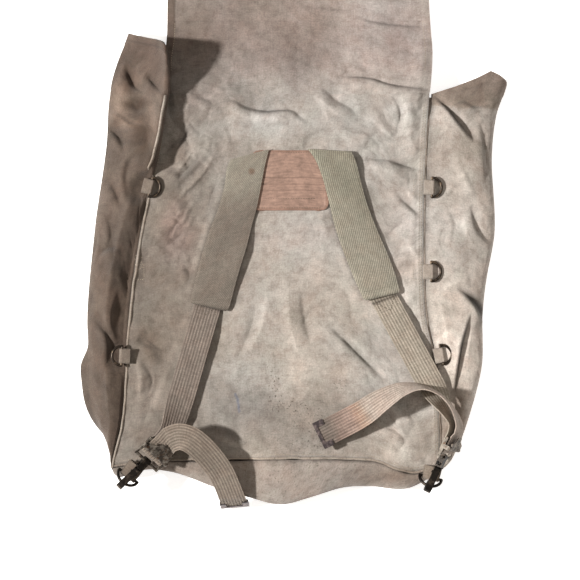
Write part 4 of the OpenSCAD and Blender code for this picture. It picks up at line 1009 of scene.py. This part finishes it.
def ridged(v, y, top, reach, crest, rise):
    """How far the left gusset stands out and how high: up to its crest, over it, and back along the floor."""
    out, z = np.zeros_like(v), np.zeros_like(v)
    for i in range(len(v)):
        c, r, h = crest[i, 0], reach[i, 0], rise[i, 0]
        out[i] = spline([[0, 0], [CREST_V, c], [0.36, lerp(c, r, 0.7)], [0.52, r], [0.7, 0.9 * r],
                         [1, 0]], v[i])
        lift = spline([[0, 0], [CREST_V, h], [0.27, 0.6 * h], [0.31, 0.26 * h], [0.36, 0.08 * h], [0.52, 0],
                       [1, 0]], v[i])
        fall = spline([[0, 1], [CREST_V, 1], [0.36, 0.85], [0.52, 0.5], [0.7, 0.2], [1, 0]], v[i])
        z[i] = LOW_Z + (top[i] - LOW_Z) * fall + lift
    out = out + spline(LEFT_LOBE, y) * np.exp(-((v - 0.66) / 0.16) ** 2)
    for h in (UPPER_H, LOWER_H):
        near = np.exp(-(((out - 8) / 16) ** 2 + ((y - BOTTOM_Y - h) / 19) ** 2) ** 2) * (v < 0.5)
        z = z - np.maximum(z - top + 1.0, 0) * near
    return out, z


def side_gusset(side):
    """Middle surface of a side gusset, with its shares across and along."""
    w = np.linspace(0, 1, 150)
    v, s = np.meshgrid(0.35 * w + 0.65 * w ** 1.9, np.linspace(0, 1, 260))
    mouth = spline(LEFT_MOUTH, v) if side < 0 else np.interp(v, *np.array(RIGHT_MOUTH).T)
    y = lerp(BOTTOM_Y - 8.0 - SEAM_GAP, FOLD_Y + mouth, s)
    t = np.clip((y - BOTTOM_Y) / PANEL_H, 0, 1)
    reach = spline(REACH[side], s) * GUSSET_W / 2 * rounded(s, 0.022)
    top = seam_z(t)
    if side < 0:
        crest = np.minimum(spline(LEFT_CREST, s), 0.8 * reach)
        out, z = ridged(v, y, top, reach, crest, spline(LEFT_RIDGE, s))
    else:
        out = reach * np.sin(np.pi * v)
        f = np.where(v < 0.5, 1 - 0.5 * (2 * v) ** 3.2, 0.5 * (2 * (1 - v)) ** 2.2)
        z = LOW_Z + (top - LOW_Z) * f + 2.0 * np.sin(2 * np.pi * np.clip(v, 0, 0.5)) * ease(s * 3)
    x = seam_x(side, t) + side * (PANEL_GAP[side] + out)
    along, across = s * GUSSET_RUN, v * GUSSET_W
    fold = ease(v / 0.05) * ease((1 - v) / 0.05) * ease(s / 0.04)
    dent = 3.0 * fractal(across * 1.5, along * 0.6, 60, 130 + side, 2)
    for high, size, seed, turn in ((2.0, 50, 150, 0.7), (1.1, 26, 160, 2.2), (0.5, 14, 170, 1.2)):
        dent = dent + high * facets(across, along, size, seed + side, turn)
    creases, steps = GUSSET_FOLDS[side]
    dent = dent + (v < 0.5) * (folded(x, y, creases) + lips(x, y, steps)) * (1.45 if side < 0 else 1.1)
    return np.stack([x, y, np.maximum(z + dent * fold, LOW_Z)], -1), v, s


gussets = {}
for side, name in SIDES:
    grid, v, s = side_gusset(side)
    gussets[side] = grid
    thick = CANVAS_T + HEM_T * (s > 1 - 12 / GUSSET_RUN)
    base, speck = ((0.43, 0.36, 0.32), 0.25) if side < 0 else ((1.06, 1.04, 1.03), 0.05)
    tint = crease_shade_and_wear(canvas_tint(grid, base, speck), grid, GUSSET_FOLDS[side][0])
    if side < 0:
        # painted shade on the far half of the gusset, which lies behind its bulge
        dim(tint, lerp(1.0, 0.80, ease((v - 0.47) / 0.06)))
        dim(tint, 1 + 0.3 * fractal(grid[..., 0] * 1.6, grid[..., 1], 34, 88, 3))
        # painted light: the upper wing lighter where it stands in the light, the lower part darker
        wash(tint, (1.22, 1.22, 1.22), ease((s - 0.55) / 0.35), (0.84, 0.82, 0.80))
        dim(tint, 1 - 0.35 * np.exp(-(((1 - s) * GUSSET_RUN - 7.5) / 1.1) ** 2))
    else:
        band = ease((grid[..., 1] - 217 - 3 * noise(grid[..., 0], grid[..., 1], 20, 9)) / 5)
        wash(tint, (0.70, 0.63, 0.58), band)
        dim(tint, lerp(1.18, 0.86, ease((s - 0.42) / 0.4)))
    seam_dirt_and_shade(tint, grid, v * GUSSET_W, 0.45)
    piece = cloth(f"{name}_gusset_cloth", grid, thick, CANVAS, tint, flip=side < 0)
    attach(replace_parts(piece, f"{name}_gusset"), "bag")
    k = int(np.searchsorted(s[:, 0], 1 - 10.5 / GUSSET_RUN))
    face = (normals_of(grid) * side)[k, 2:80]
    stitches(f"{name}_mouth_stitches", [stitch_row(grid[k, 2:80] + face * 0.85, face)], DARK_THREAD, "bag")

# Bottom gusset
v, u = np.meshgrid(np.linspace(0, 1, 70), np.linspace(0, 1, 200))
x = lerp(seam_x(-1, 0) - SEAM_GAP, seam_x(1, 0) + SEAM_GAP, u)
reach = (spline(BOTTOM_REACH, u) + 0.11 * ease(1 - u / 0.12)) * GUSSET_W / 2
reach = reach * rounded(np.minimum(u, 1 - u), 0.028)
y = BOTTOM_Y + spline(BOTTOM_DROP, u) - SEAM_GAP - reach * np.sin(np.pi * v)
rumple = 2.2 * fractal(x, v * 120, 40, 91, 3) + 1.6 * np.sin(x / 17 + 3 * noise(x, v * 50, 50, 4))
z = 18.4 + 17.6 * np.cos(np.pi * v) + rumple * np.sin(np.pi * v)
bottom = np.stack([x, y, np.maximum(z, LOW_Z)], -1)
tint = canvas_tint(bottom, base=(0.96, 0.92, 0.91), speck=0.3)
seam_dirt_and_shade(tint, bottom, v * 100, 0.55)
piece = cloth("bottom_gusset_cloth", bottom, CANVAS_T, CANVAS, tint, flip=True)
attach(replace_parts(piece, "bottom_gusset"), "bag")


# Seams: a rounded welt with its stitches

WELT_STEP = 2.2


def welt(name, line, across, width, rise, base):
    """An uneven welt along a seam, with one direction across it."""
    n = len(line)
    rough = lambda size, seed: noise(np.arange(n) * WELT_STEP, np.zeros(n), size, seed)
    g = np.linspace(0, np.pi, 9)
    centre = (line + across * (0.7 * rough(14, 7) + 0.9 * rough(46, 27))[:, None])[:, None]
    high = rise * (1 + 0.25 * rough(9, 17))
    half = across * (np.cos(g) * width / 2)[:, None]
    arch = centre - half + Z_AXIS * (np.sin(g) * high[:, None])[..., None]
    arch[..., 2] -= 0.7
    ring = np.concatenate([arch, centre + half - np.array([0, 0, 1.6])], 1)
    m = ring.shape[1]
    j = np.arange(8)
    ends = np.stack([j, j + 1, m - 2 - j, m - 1 - j], -1)
    faces = np.concatenate([tube(n, m)[:, [0, 3, 2, 1]], ends, ends[:, ::-1] + (n - 1) * m])
    if np.cross(across, np.gradient(line, axis=0))[:, 2].sum() > 0:
        faces = faces[:, ::-1]
    tint = canvas_tint(ring, base=base, speck=0.3)
    uv = np.stack([np.tile(np.arange(m) * 0.6, n), np.repeat(np.arange(n) * WELT_STEP, m)], -1)
    piece = make(name, ring.reshape(-1, 3), faces, CANVAS, tint.reshape(-1, 4), uv, sharp=70)
    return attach(piece, "bag")


def seam_line(side, n=210):
    t = np.linspace(-0.022, 1 - 4 / PANEL_H, n)
    return np.stack([seam_x(side, t), BOTTOM_Y + t * PANEL_H, seam_z(t)], -1)


def crest_line():
    """The left seam, which runs up onto the crest of the gusset above the upper ring."""
    line, ridge = seam_line(-1), gussets[-1][:, CREST_COLUMN]
    over = ease((line[:, 1] - 133) / 14)
    for c, lift in ((0, 1.2), (2, 0.3)):
        line[:, c] = lerp(line[:, c], np.interp(line[:, 1], ridge[:, 1], ridge[:, c]) + lift, over)
    return line


u = np.linspace(0, 1, 190)
bottom_line = np.stack([lerp(seam_x(-1, 0) - 1.0, seam_x(1, 0) + 1.0, u), BOTTOM_Y + spline(BOTTOM_DROP, u),
                        np.full(190, SEAM_BOTTOM_Z)], -1)
# the left welt's lighter base is a painted highlight, where it stands lit on the crest
for name, line, across, width, rise, base in (
        ("left", crest_line(), X_AXIS, 3.8, 3.0, (1.25, 1.22, 1.18)),
        ("right", seam_line(1), X_AXIS, 3.6, 1.9, (0.62, 0.57, 0.53)),
        ("bottom", bottom_line, -Y_AXIS, 3.4, 2.6, (1.0, 0.95, 0.9))):
    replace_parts(welt(f"{name}_seam_ridge", line, across, width, rise, base), f"{name}_seam_welt")


def on_back(x, y, lift=0.0):
    """Points on the visible face of the panel cloth."""
    t = np.clip((y - BOTTOM_Y) / PANEL_H, 0, 1)
    left, right = seam_x(-1, t), seam_x(1, t)
    p = back_surface((x - left - PANEL_GAP[-1]) / (right - left - PANEL_GAP[-1] - PANEL_GAP[1]), y)
    p[..., 2] += CANVAS_T / 2 + lift
    return p


rows = []
for side, inset in ((-1, 4.6), (1, -4.2), (1, -7.0)):
    line = seam_line(side, 160)[3:-3]
    rows.append(stitch_row(on_back(line[:, 0] + inset, line[:, 1]), Z_AXIS))
rows.append(stitch_row(on_back(bottom_line[6:-6, 0], np.full(178, BOTTOM_Y + 4.5)), Z_AXIS))
for h in (UPPER_H, MIDDLE_H, LOWER_H):
    for side, _ in SIDES:
        x0 = float(seam_x(side, h / PANEL_H))
        inner, ys = x0 - side * 14, BOTTOM_Y + h + np.array([-9, 9.0])
        box = [(np.linspace(x0 - side * 4, inner, 6), np.full(6, yy)) for yy in ys]
        box.append((np.full(8, inner), np.linspace(*ys, 8)))
        rows += [stitch_row(on_back(*line), Z_AXIS, pitch=2.6, length=1.9) for line in box]
zig = photo([(134, 255), (141, 257), (134, 259), (141, 262), (134, 264), (141, 267), (135, 270)])
rows.append(stitch_row(on_back(zig[:, 0] + 6, zig[:, 1], 0.1), Z_AXIS, pitch=2.8, length=2.4, radius=0.4))
stitches("panel_stitches", rows, THREAD, "bag")

# Leather patch with ruled lines, given by their row in the photograph and their depth
RULES = ((178.0, 1.0), (184.5, 0.9), (190.4, 0.7), (158.0, 0.25), (205.0, 0.3))
PATCH_R = 9

u, v = np.meshgrid(np.linspace(-1, 1, 141), np.linspace(0, 1, 111))
y = PATCH_TOP - PATCH_H + PATCH_H * v
corner = np.clip((PATCH_R - np.minimum(PATCH_H * v, PATCH_H * (1 - v))) / PATCH_R, 0, 1)
x = u * (PATCH_W / 2 - PATCH_R * (1 - np.sqrt(1 - corner ** 2)))
rule = np.zeros_like(x)
for row, deep in RULES:
    off = y - photo((0, row))[1] + 0.7 * noise(x, np.zeros_like(y), 30, 3)
    rule = np.maximum(rule, deep * np.exp(-(off / 0.7) ** 2))
patch = np.stack([x, y, panel_z(x, y) + PATCH_Z + 0.5 * noise(x, y, 25, 12) * (np.abs(u) < 0.9)
                  + 0.9 * ease((np.abs(u) - 0.8) / 0.2) * ease((0.35 - v) / 0.3) - 0.35 * rule], -1)
tone = np.array([0.312, 0.203, 0.160]) * (1 + 0.22 * fractal(x, y, 22, 44, 4)[..., None])
rim = ease((np.maximum(np.abs(u), 2 * np.abs(v - 0.5)) - 0.86) / 0.14)
wash(tone, (0.62, 0.5, 0.45), rim * 0.5)
paint(tone, (0.075, 0.045, 0.036), 0.68 * rule * (0.7 + 0.3 * noise(x, y, 9, 8)))
tone = np.concatenate([np.clip(tone, 0.01, 1), np.zeros_like(x)[..., None]], -1)
piece = cloth("strap_patch_leather", patch, PATCH_T, LEATHER, tone)
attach(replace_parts(piece, "strap_patch"), "bag")
rows = []
for half, yy in ((30, photo((0, 199))[1]), (42, PATCH_TOP - 2.4), (38, PATCH_TOP - PATCH_H + 3)):
    xs, ys = np.linspace(-half, half, 40), np.full(40, yy)
    line = np.stack([xs, ys, panel_z(xs, ys) + PATCH_Z + PATCH_T / 2], -1)
    rows.append(stitch_row(line, Z_AXIS, pitch=3.0, length=2.2))
stitches("patch_stitches", rows, DARK_THREAD, "bag")

# Upper straps: how far an edge rises off the panel along them, and their colour
PAD_RISE = {-1: [[0, 0], [0.3, 0], [0.55, 0.2], [0.76, 4.5], [0.92, 1.0], [1, 0]],
            1: [[0, 1], [0.1, 3.8], [0.22, 1.0], [0.32, 0], [0.6, 0.6], [0.75, 0.4], [1, 0]]}
PAD_TONE = {-1: (0.222, 0.200, 0.166), 1: (0.268, 0.252, 0.205)}
PAD_HEM, PAD_RIM = 5 / PAD_L, 2.6 / PAD_L

for side, name in SIDES:
    body = f"{name}_strap_body"
    n, m = 110, 35
    first, last = (smoothed(photo(e), n) for e in PAD_EDGES[side])
    q = np.linspace(0, 1, m)
    xy = lerp(first[:, None], last[:, None], q[None, :, None])
    ss, cc = np.meshgrid(np.linspace(0, 1, n), 2 * q - 1, indexing="ij")
    turned = np.clip((ss - 1 + PAD_HEM) / PAD_HEM, 0, 1)
    xy = xy + (xy.mean(1, keepdims=True) - xy) * (0.10 * turned ** 2)[..., None]
    h = lerp(PAD_TOP_Z, PAD_END_Z, ease(ss)) - 2.0 * ease((ss - 0.4) / 0.14) * ease((0.9 - ss) / 0.14)
    rise = (ease((cc + 0.1) / 1.1) * spline(PAD_RISE[side], ss) + 1.0 * np.sin(np.pi * ss) * (1 - cc ** 2)
            + 0.6 * fractal(xy[..., 0], xy[..., 1], 45, 60 + side, 2) * np.sin(np.pi * ss))
    pts = np.concatenate([xy, (panel_z(xy[..., 0], xy[..., 1]) + h + rise)[..., None]], -1)
    thick = PAD_T * (0.62 + 0.3 * (np.abs(cc) < 0.94) + 0.35 * (ss > 1 - 8 / PAD_L) + 0.15 * (ss < 6 / PAD_L))
    tint = even_tint(ss.shape, PAD_TONE[side], 31 + side, 0.15, 40)
    if side < 0:
        spot = np.linalg.norm(xy - photo((252, 172)), axis=-1)
        paint(tint, (0.13, 0.075, 0.05), 0.75 * ease(1.4 - spot / 4.2))
        wash(tint, (0.69, 0.655, 0.665), ease((ss - 0.2) / 0.3), (1.08, 1.1, 1.1))
    else:
        wash(tint, (1.08, 1.07, 1.08), ease((ss - 0.3) / 0.4), (0.94, 0.95, 0.93))
    dim(tint, 1 + 0.20 * np.exp(-((1 - np.abs(cc)) / 0.05) ** 2))
    # painted shade on the turned-under end of the strap, and a painted highlight along its fold
    dim(tint, 1 - 0.5 * ease((ss - 1 + PAD_RIM) / PAD_RIM)
        + 0.14 * np.exp(-((ss - 1 + PAD_HEM) * PAD_L / 1.6) ** 2))
    piece = cloth(f"{name}_strap_pad_twill", pts, thick, TWILL, tint, flip=True)
    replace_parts(piece, f"{name}_strap_pad")
    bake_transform(piece)
    face = upward(pts)
    skin = pts + face * (PAD_T * 0.47)
    rows = [stitch_row(skin[k, 2:-2], face[k, 2:-2], pitch=2.8) for k in (-7, 3)]
    thread = stitches(f"{name}_pad_stitches", rows, yarn(f"{name}_pad_thread", (0.22, 0.20, 0.16)), None)
    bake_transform(thread)

# Adjusting webs: from under the pads' ends to the buckles, turning onto their edge
WEB_ARCH = {-1: 6.0, 1: 1.4}
WEB_TONE = {-1: (0.202, 0.167, 0.144), 1: (0.38, 0.335, 0.28)}
DARK_AT = {-1: 17.5, 1: 14.5}
TAIL_Z = BAR_R + FIT + WEB_T / 2
RUN_Z = -TAIL_Z
RIBS = 9


def web_path(side):
    """Centre line of a web, its direction across and its normal."""
    f = BUCKLE[side]
    start = web_start(side)
    start[2] = panel_z(start[0], start[1])
    end = at(f, (0, HOOK_L + BUCKLE_L + 14, RUN_Z))
    s = np.linspace(0, 1, 90)
    p = start + np.multiply.outer(s, end - start)
    across = unit(pad_cross(side) + np.multiply.outer(ease(s * 2.5 - 1.5), f[1] - pad_cross(side)))
    low = panel_z(p[:, 0], p[:, 1]) + CANVAS_T / 2 + SOFT_GAP + WEB_T / 2
    lifted = low + WELT_RISE * ease(3 * s) + np.abs(across[:, 2]) * WEB_W / 2
    p[:, 2] = np.maximum(lifted, lerp(low, p[:, 2], ease(s * 1.15 - 0.15)))
    p[:, 2] += WEB_ARCH[side] * np.sin(np.pi * np.clip(s / 0.7, 0, 1)) ** 1.5
    more = [at(f, (0, d, RUN_Z)) for d in (HOOK_L + BUCKLE_L + 6, HOOK_L + MIDDLE_Y + FIT)]
    p = np.concatenate([p, more])
    across = np.concatenate([across, [f[1], f[1]]])
    # even out the joins
    for _ in range(4):
        p[2:-2] = 0.25 * p[1:-3] + 0.5 * p[2:-2] + 0.25 * p[3:-1]
    normal = unit(np.cross(across, unit(np.gradient(p, axis=0))))
    normal = normal * np.sign(normal[:, 2:] + 1e-6)
    normal[-3:] = f[3]
    return p, across, normal


def painted_shadow_line(side):
    """A web's marks: a painted shadow line where the end of the upper strap, or the buckle, lies over it."""
    def marks(tint, p):
        dim(tint, 1 - 0.7 * np.exp(-((run_of(p)[:, None] - DARK_AT[side]) / 2.0) ** 2))
    return marks


def ribbed(name, path, colour, seed, nodes_replaced, marks, alpha=0.06):
    """A length of ribbed webbing along a path; marks adds to its tint."""
    p, across, normal = path
    q = np.linspace(-1, 1, 61)
    tint = even_tint((len(p), len(q)), colour, seed, 0.13, 26, alpha)
    # painted shade in the grooves between the ribs, and lighter ribs
    dim(tint, (1.11 - 0.44 * grooves(q, RIBS) * (np.abs(q) < 0.93))[None])
    marks(tint, p)
    piece = strap(name, p, across, normal, WEB_W, WEB_T, WEBBING, tint, ribs=RIBS, deep=0.34)
    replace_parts(piece, *nodes_replaced)
    return piece


for side, name in SIDES:
    path = web_path(side)
    piece = ribbed(f"{name}_strap_webbing", path, WEB_TONE[side], 70 + side, [f"{name}_strap_web"],
                   painted_shadow_line(side))
    start, end = path[0][4] * MM, path[0][-8] * MM
    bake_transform(piece)
    # box and cross of stitches under the pad's end
    p, across, normal = path
    skin, w = p + normal * (WEB_T / 2 + 0.05), across * WEB_W / 2 * 0.72
    lines = [(skin[5:14] + w[5:14] * k, normal[5:14]) for k in (-1, 1)]
    lines.append((np.linspace(skin[7] - w[7], skin[7] + w[7], 8), normal[7]))
    lines += [(np.linspace(skin[7] + w[7] * k, skin[14], 8), normal[9]) for k in (-1, 1)]
    rows = [stitch_row(line, face, pitch=2.6, length=2.0) for line, face in lines]
    obj = stitches(f"{name}_web_stitches", rows, DARK_THREAD, None)
    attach(obj, f"{name}_strap_body")

# Free tails: points from the buckle's exit, and the roll there in degrees
TAIL = {-1: [[7, 8, 8, 14], [19, 12, 12, 8], [33, 8, 13, 4], [46, -3, 10, 4], [58, -17, 4, 8],
             [68, -32, -3, 14], [75, -48, -11.5, 16], [80, -62.5, -22, 14], [82, -69.5, -34, 10]],
        1: [[3.5, 7, 1, 68], [3.5, 16, 2, 72], [-1, 28, 4, 78], [-9, 41, 6.5, 84], [-22, 53, 8, 86],
            [-41, 60, 8, 82], [-64, 57, 5.5, 62], [-88, 44, 1.5, 38], [-114, 26, -4, 14], [-150, 7, -7, 4]]}
TAIL_TONE = {-1: (0.218, 0.180, 0.148), 1: (0.41, 0.345, 0.30)}
TIP_L = 13.0


def tail_path(side):
    """Centre line of a tail from round the buckle's bar to its tip, its direction across and its normal."""
    f = BUCKLE[side]
    exit_y = HOOK_L + BUCKLE_L + 4
    o = at(f, (0, exit_y, TAIL_Z))
    route = np.array([[*(o + p[:3]), p[3]] for p in TAIL[side]])
    fine = []
    n = len(route)
    for i in range(n - 1):
        p, q, a, b = route[i], route[i + 1], route[max(i - 1, 0)], route[min(i + 2, n - 1)]
        for t in np.arange(0, 1, 0.1):
            fine.append(0.5 * (2 * p + (q - a) * t + (2 * a - 5 * p + 4 * q - b) * t * t
                               + (3 * p - a - 3 * q + b) * t ** 3))
    fine = np.array(fine + [route[-1]])
    centre, roll = fine[:, :3], fine[:, 3]
    way = unit(np.gradient(centre, axis=0))
    frames = [strap_frame(np.zeros(3), w, r) for w, r in zip(way, roll)]
    across, normal = np.array([g[1] for g in frames]), np.array([g[3] for g in frames])
    bend = np.radians(-90 - np.arange(0, 181, 12))
    bar_y = HOOK_L + MIDDLE_Y
    wrap = np.array([at(f, (0, bar_y + TAIL_Z * math.cos(a), TAIL_Z * math.sin(a))) for a in bend])
    wrap_n = np.array([f[2] * math.cos(a) + f[3] * math.sin(a) for a in bend])
    out = np.array([at(f, (0, d, TAIL_Z)) for d in np.linspace(bar_y + 3, exit_y, 6)])
    tip = centre[-1] + np.multiply.outer(np.linspace(0.15, 1, 6) * TIP_L, way[-1])
    centre = np.concatenate([wrap, out, centre, tip])
    across = np.concatenate([np.tile(f[1], (len(wrap) + 6, 1)), across, np.tile(across[-1], (6, 1))])
    normal = np.concatenate([wrap_n, np.tile(f[3], (6, 1)), normal, np.tile(normal[-1], (6, 1))])
    return centre, across, normal


def right_marks(tint, p):
    """The right tail's marks: a rusty patch in stripes, its dark far end and a pink tinge."""
    far = lambda px, py: np.linalg.norm(p[:, :2] - photo((px, py)), axis=1)[:, None]
    stripes = 0.55 + 0.45 * np.sign(np.sin(np.arange(tint.shape[1]) * 1.7))
    paint(tint, (0.33, 0.185, 0.105), 0.7 * ease(1.5 - far(357, 410) / 9) * stripes)
    dim(tint, lerp(1.0, 0.42, ease((92 - p[:, :1]) / 50)))
    wash(tint, (1.05, 0.92, 0.9), ease(1.4 - far(345, 420) / 20))


for side, name in SIDES:
    path = tail_path(side)
    piece = ribbed(f"{name}_tail_webbing", path, TAIL_TONE[side], 80 + side, [f"{name}_strap_tail"],
                   right_marks if side > 0 else painted_shadow_line(side), alpha=0.1)
    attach(piece, "bag")


# Tabs of the rings: a loop of canvas round each bar

TAB_T = 1.2


def spin(axis, degrees):
    a = math.radians(degrees)
    c, s = math.cos(a), math.sin(a)
    m = {"z": [[c, -s, 0], [s, c, 0], [0, 0, 1]], "y": [[c, 0, s], [0, 1, 0], [-s, 0, c]]}[axis]
    return np.array(m)


def loop(name, replaced, turn, origin, width, length, wrap, material, colour, slot):
    """A flat loop round a bar on the local Y axis, with both ends towards -X, turned and then moved."""
    r = wrap + TAB_T / 2
    top = np.stack([np.linspace(-length + 0.2, 0, 14), np.full(14, r)], -1)
    bent = np.radians(np.linspace(90, -90, 19)[1:-1])
    bend = r * np.stack([np.cos(bent), np.sin(bent)], -1)
    low = np.stack([np.linspace(0, -length + 0.2, 14), np.full(14, -r)], -1)
    line = np.concatenate([top, bend, low])
    n, points = len(line), 21
    pinch = 1 - 0.05 * np.exp(-(line[:, 0] / 3) ** 2)
    centre = np.stack([line[:, 0], np.zeros(n), line[:, 1]], -1)
    normal = -unit(np.cross(unit(np.gradient(centre, axis=0)), Y_AXIS))
    across = Y_AXIS * pinch[:, None]
    centre, across, normal = centre @ turn.T + origin, across @ turn.T, normal @ turn.T
    tint = canvas_tint(np.tile(centre[:, None], (1, points, 1)), base=colour, speck=0.2)
    dim(tint, (1 - 0.4 * np.abs(np.linspace(-1, 1, points)) ** 10)[None])
    piece = strap(name, centre, across, unit(normal), width, TAB_T, material, tint, edge=0.6)
    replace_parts(piece, replaced)
    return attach(piece, "bag")


# Side, height up the seam, the way the tab lies, its shift, its lift and its slope in degrees
RINGS = {"left_upper": (-1, UPPER_H, 1, -8.5, 0.1, -8), "left_lower": (-1, LOWER_H, -1, 1, 0.5, 14),
         "right_upper": (1, UPPER_H, 1, 1, 0, -6), "right_middle": (1, MIDDLE_H, 1, 1, 0, -6),
         "right_lower": (1, LOWER_H, 1, 1, 0, -6)}
TAB_L, TAB_WRAP, TAB_BOTTOM = 10.0, 1.9, 3.1


def seam_point(side, h):
    t = h / PANEL_H
    return np.array([float(seam_x(side, t)), BOTTOM_Y + h, float(seam_z(t))])


for name, (side, h, lies, shift, lift, slope) in RINGS.items():
    d = seam_point(side, h + 12) - seam_point(side, h - 12)
    turn = spin("z", math.degrees(math.atan2(d[1], d[0])) - 90)
    turn = turn @ np.diag([lies, 1.0, 1.0]) @ spin("y", -slope)
    origin = seam_point(side, h) + [0, 0, CANVAS_T / 2 + WELT_RISE + FIT + lift]
    origin = origin + turn @ np.array([shift + TAB_L - TAB_BOTTOM, 0, TAB_BOTTOM])
    loop(f"{name}_tab_cloth", f"{name}_tab", turn, origin, 18.0, TAB_L - 0.2, TAB_WRAP, CANVAS,
         (0.92, 0.88, 0.84), "canvas")

for side, name in SIDES:
    loop(f"{name}_corner_tab_cloth", f"{name}_corner_tab", spin("z", CORNER_TURN[side] - 90),
         CORNER_BAR[side], 21.0, CORNER_TAB_L[side] - 3.3, 2.1, CANVAS, (0.72, 0.66, 0.6), "canvas")
    origin = np.array([TOP_AXIS + CLOSURE_SPREAD * side, -59.0, 3.4])
    loop(f"{name}_front_tab_webbing", f"{name}_front_tab", spin("z", 90), origin, CLOSURE_W, 22 - 3.0, 1.8,
         WEBBING, (0.8, 0.75, 0.68), "webbing")

# Closure straps on the flap
CLOSURE_STITCH = 10.2

for side, name in SIDES:
    n = 80
    end = CREASE_Y + FLAP_FRONT_L + CLOSURE_FREE_L
    ys = np.linspace(end - CLOSURE_L, end, n)
    z = (CANVAS_T + FIT + WEB_T / 2 + 1.2 * np.sin(np.pi * np.clip((ys - FLAP_END_Y - 4) / 70, 0, 1))
         + 1.0 * ease((FLAP_END_Y + 4 - ys) / 30))
    centre = np.stack([np.full(n, TOP_AXIS + CLOSURE_SPREAD * side), ys, z], -1)
    tint = even_tint((n, 51), (0.33, 0.295, 0.24), 95 + side)
    piece = strap(f"{name}_closure_webbing", centre, np.tile(X_AXIS, (n, 1)), np.tile(Z_AXIS, (n, 1)),
                  CLOSURE_W, WEB_T, WEBBING, tint, ribs=7)
    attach(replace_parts(piece, f"{name}_closure_strap"), "flap_lower")
    skin, w = centre + Z_AXIS * (WEB_T / 2 + 0.05), X_AXIS * CLOSURE_STITCH
    lines = [skin[2:30] - w, skin[2:30] + w]
    lines += [np.linspace(skin[i] - w, skin[j] + w, 12) for i, j in ((2, 2), (30, 30), (2, 30), (30, 2))]
    rows = [stitch_row(line, Z_AXIS, pitch=2.8, length=2.1) for line in lines]
    stitches(f"{name}_closure_stitches", rows, THREAD, "flap_lower")

# Metal keeps its CAD shape
for name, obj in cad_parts.items():
    if obj.hide_render:
        continue
    if name.endswith("_tip"):
        material = GUN_METAL
    elif "buckle" in name:
        material = STEEL
    elif "hook" in name or "gate" in name or "corner_ring" in name:
        material = BLACKENED
    else:
        material = DARK_METAL
    obj.data.materials.clear()
    obj.data.materials.append(material)

# Stage, light and camera, in metres
FLOOR_HALF, FLOOR_Z = 20, -0.0005
CAMERA_Z, SENSOR, SEAM_UP, PHOTO_SPAN = 2.6, 36, 0.03, 0.696

floor_material, shader = plain("pale_floor", 0.9, 0.1)
shader.inputs["Base Color"].default_value = (0.86, 0.86, 0.855, 1)
shader.inputs["Emission Color"].default_value = (1, 1, 1, 1)
shader.inputs["Emission Strength"].default_value = 0.72
mesh = bpy.data.meshes.new("floor")
mesh.from_pydata([(x * FLOOR_HALF, y * FLOOR_HALF, FLOOR_Z) for x, y in ((-1, -1), (1, -1), (1, 1), (-1, 1))],
                 [], [(0, 1, 2, 3)])
mesh.materials.append(floor_material)
floor = bpy.data.objects.new("floor", mesh)
bpy.context.scene.collection.objects.link(floor)

scene = bpy.context.scene
scene.view_settings.view_transform = "Standard"
world = bpy.data.worlds.new("studio")
world.use_nodes = True
world.node_tree.nodes["Background"].inputs["Color"].default_value = (1.0, 0.89, 0.765, 1)
world.node_tree.nodes["Background"].inputs["Strength"].default_value = 0.28
scene.world = world


def lamp(name, where, size, power, colour):
    """A square lamp that looks at the origin."""
    data = bpy.data.lights.new(name, "AREA")
    data.size, data.energy, data.color = size, power, colour
    obj = bpy.data.objects.new(name, data)
    obj.location = where
    obj.rotation_euler = (-Vector(where)).to_track_quat("-Z", "Y").to_euler()
    scene.collection.objects.link(obj)


lamp("key", (-2.35, 0.05, 1.95), 0.20, 165, (1.0, 0.965, 0.92))
lamp("fill", (1.2, 0.8, 2.6), 2.5, 18, (1.0, 0.94, 0.88))

camera = bpy.data.cameras.new("camera")
camera.sensor_width = SENSOR
camera.lens = SENSOR * (CAMERA_Z - SEAM_UP) / PHOTO_SPAN
camera_object = bpy.data.objects.new("camera", camera)
camera_object.location = (0, 0, CAMERA_Z)
scene.collection.objects.link(camera_object)
scene.camera = camera_object
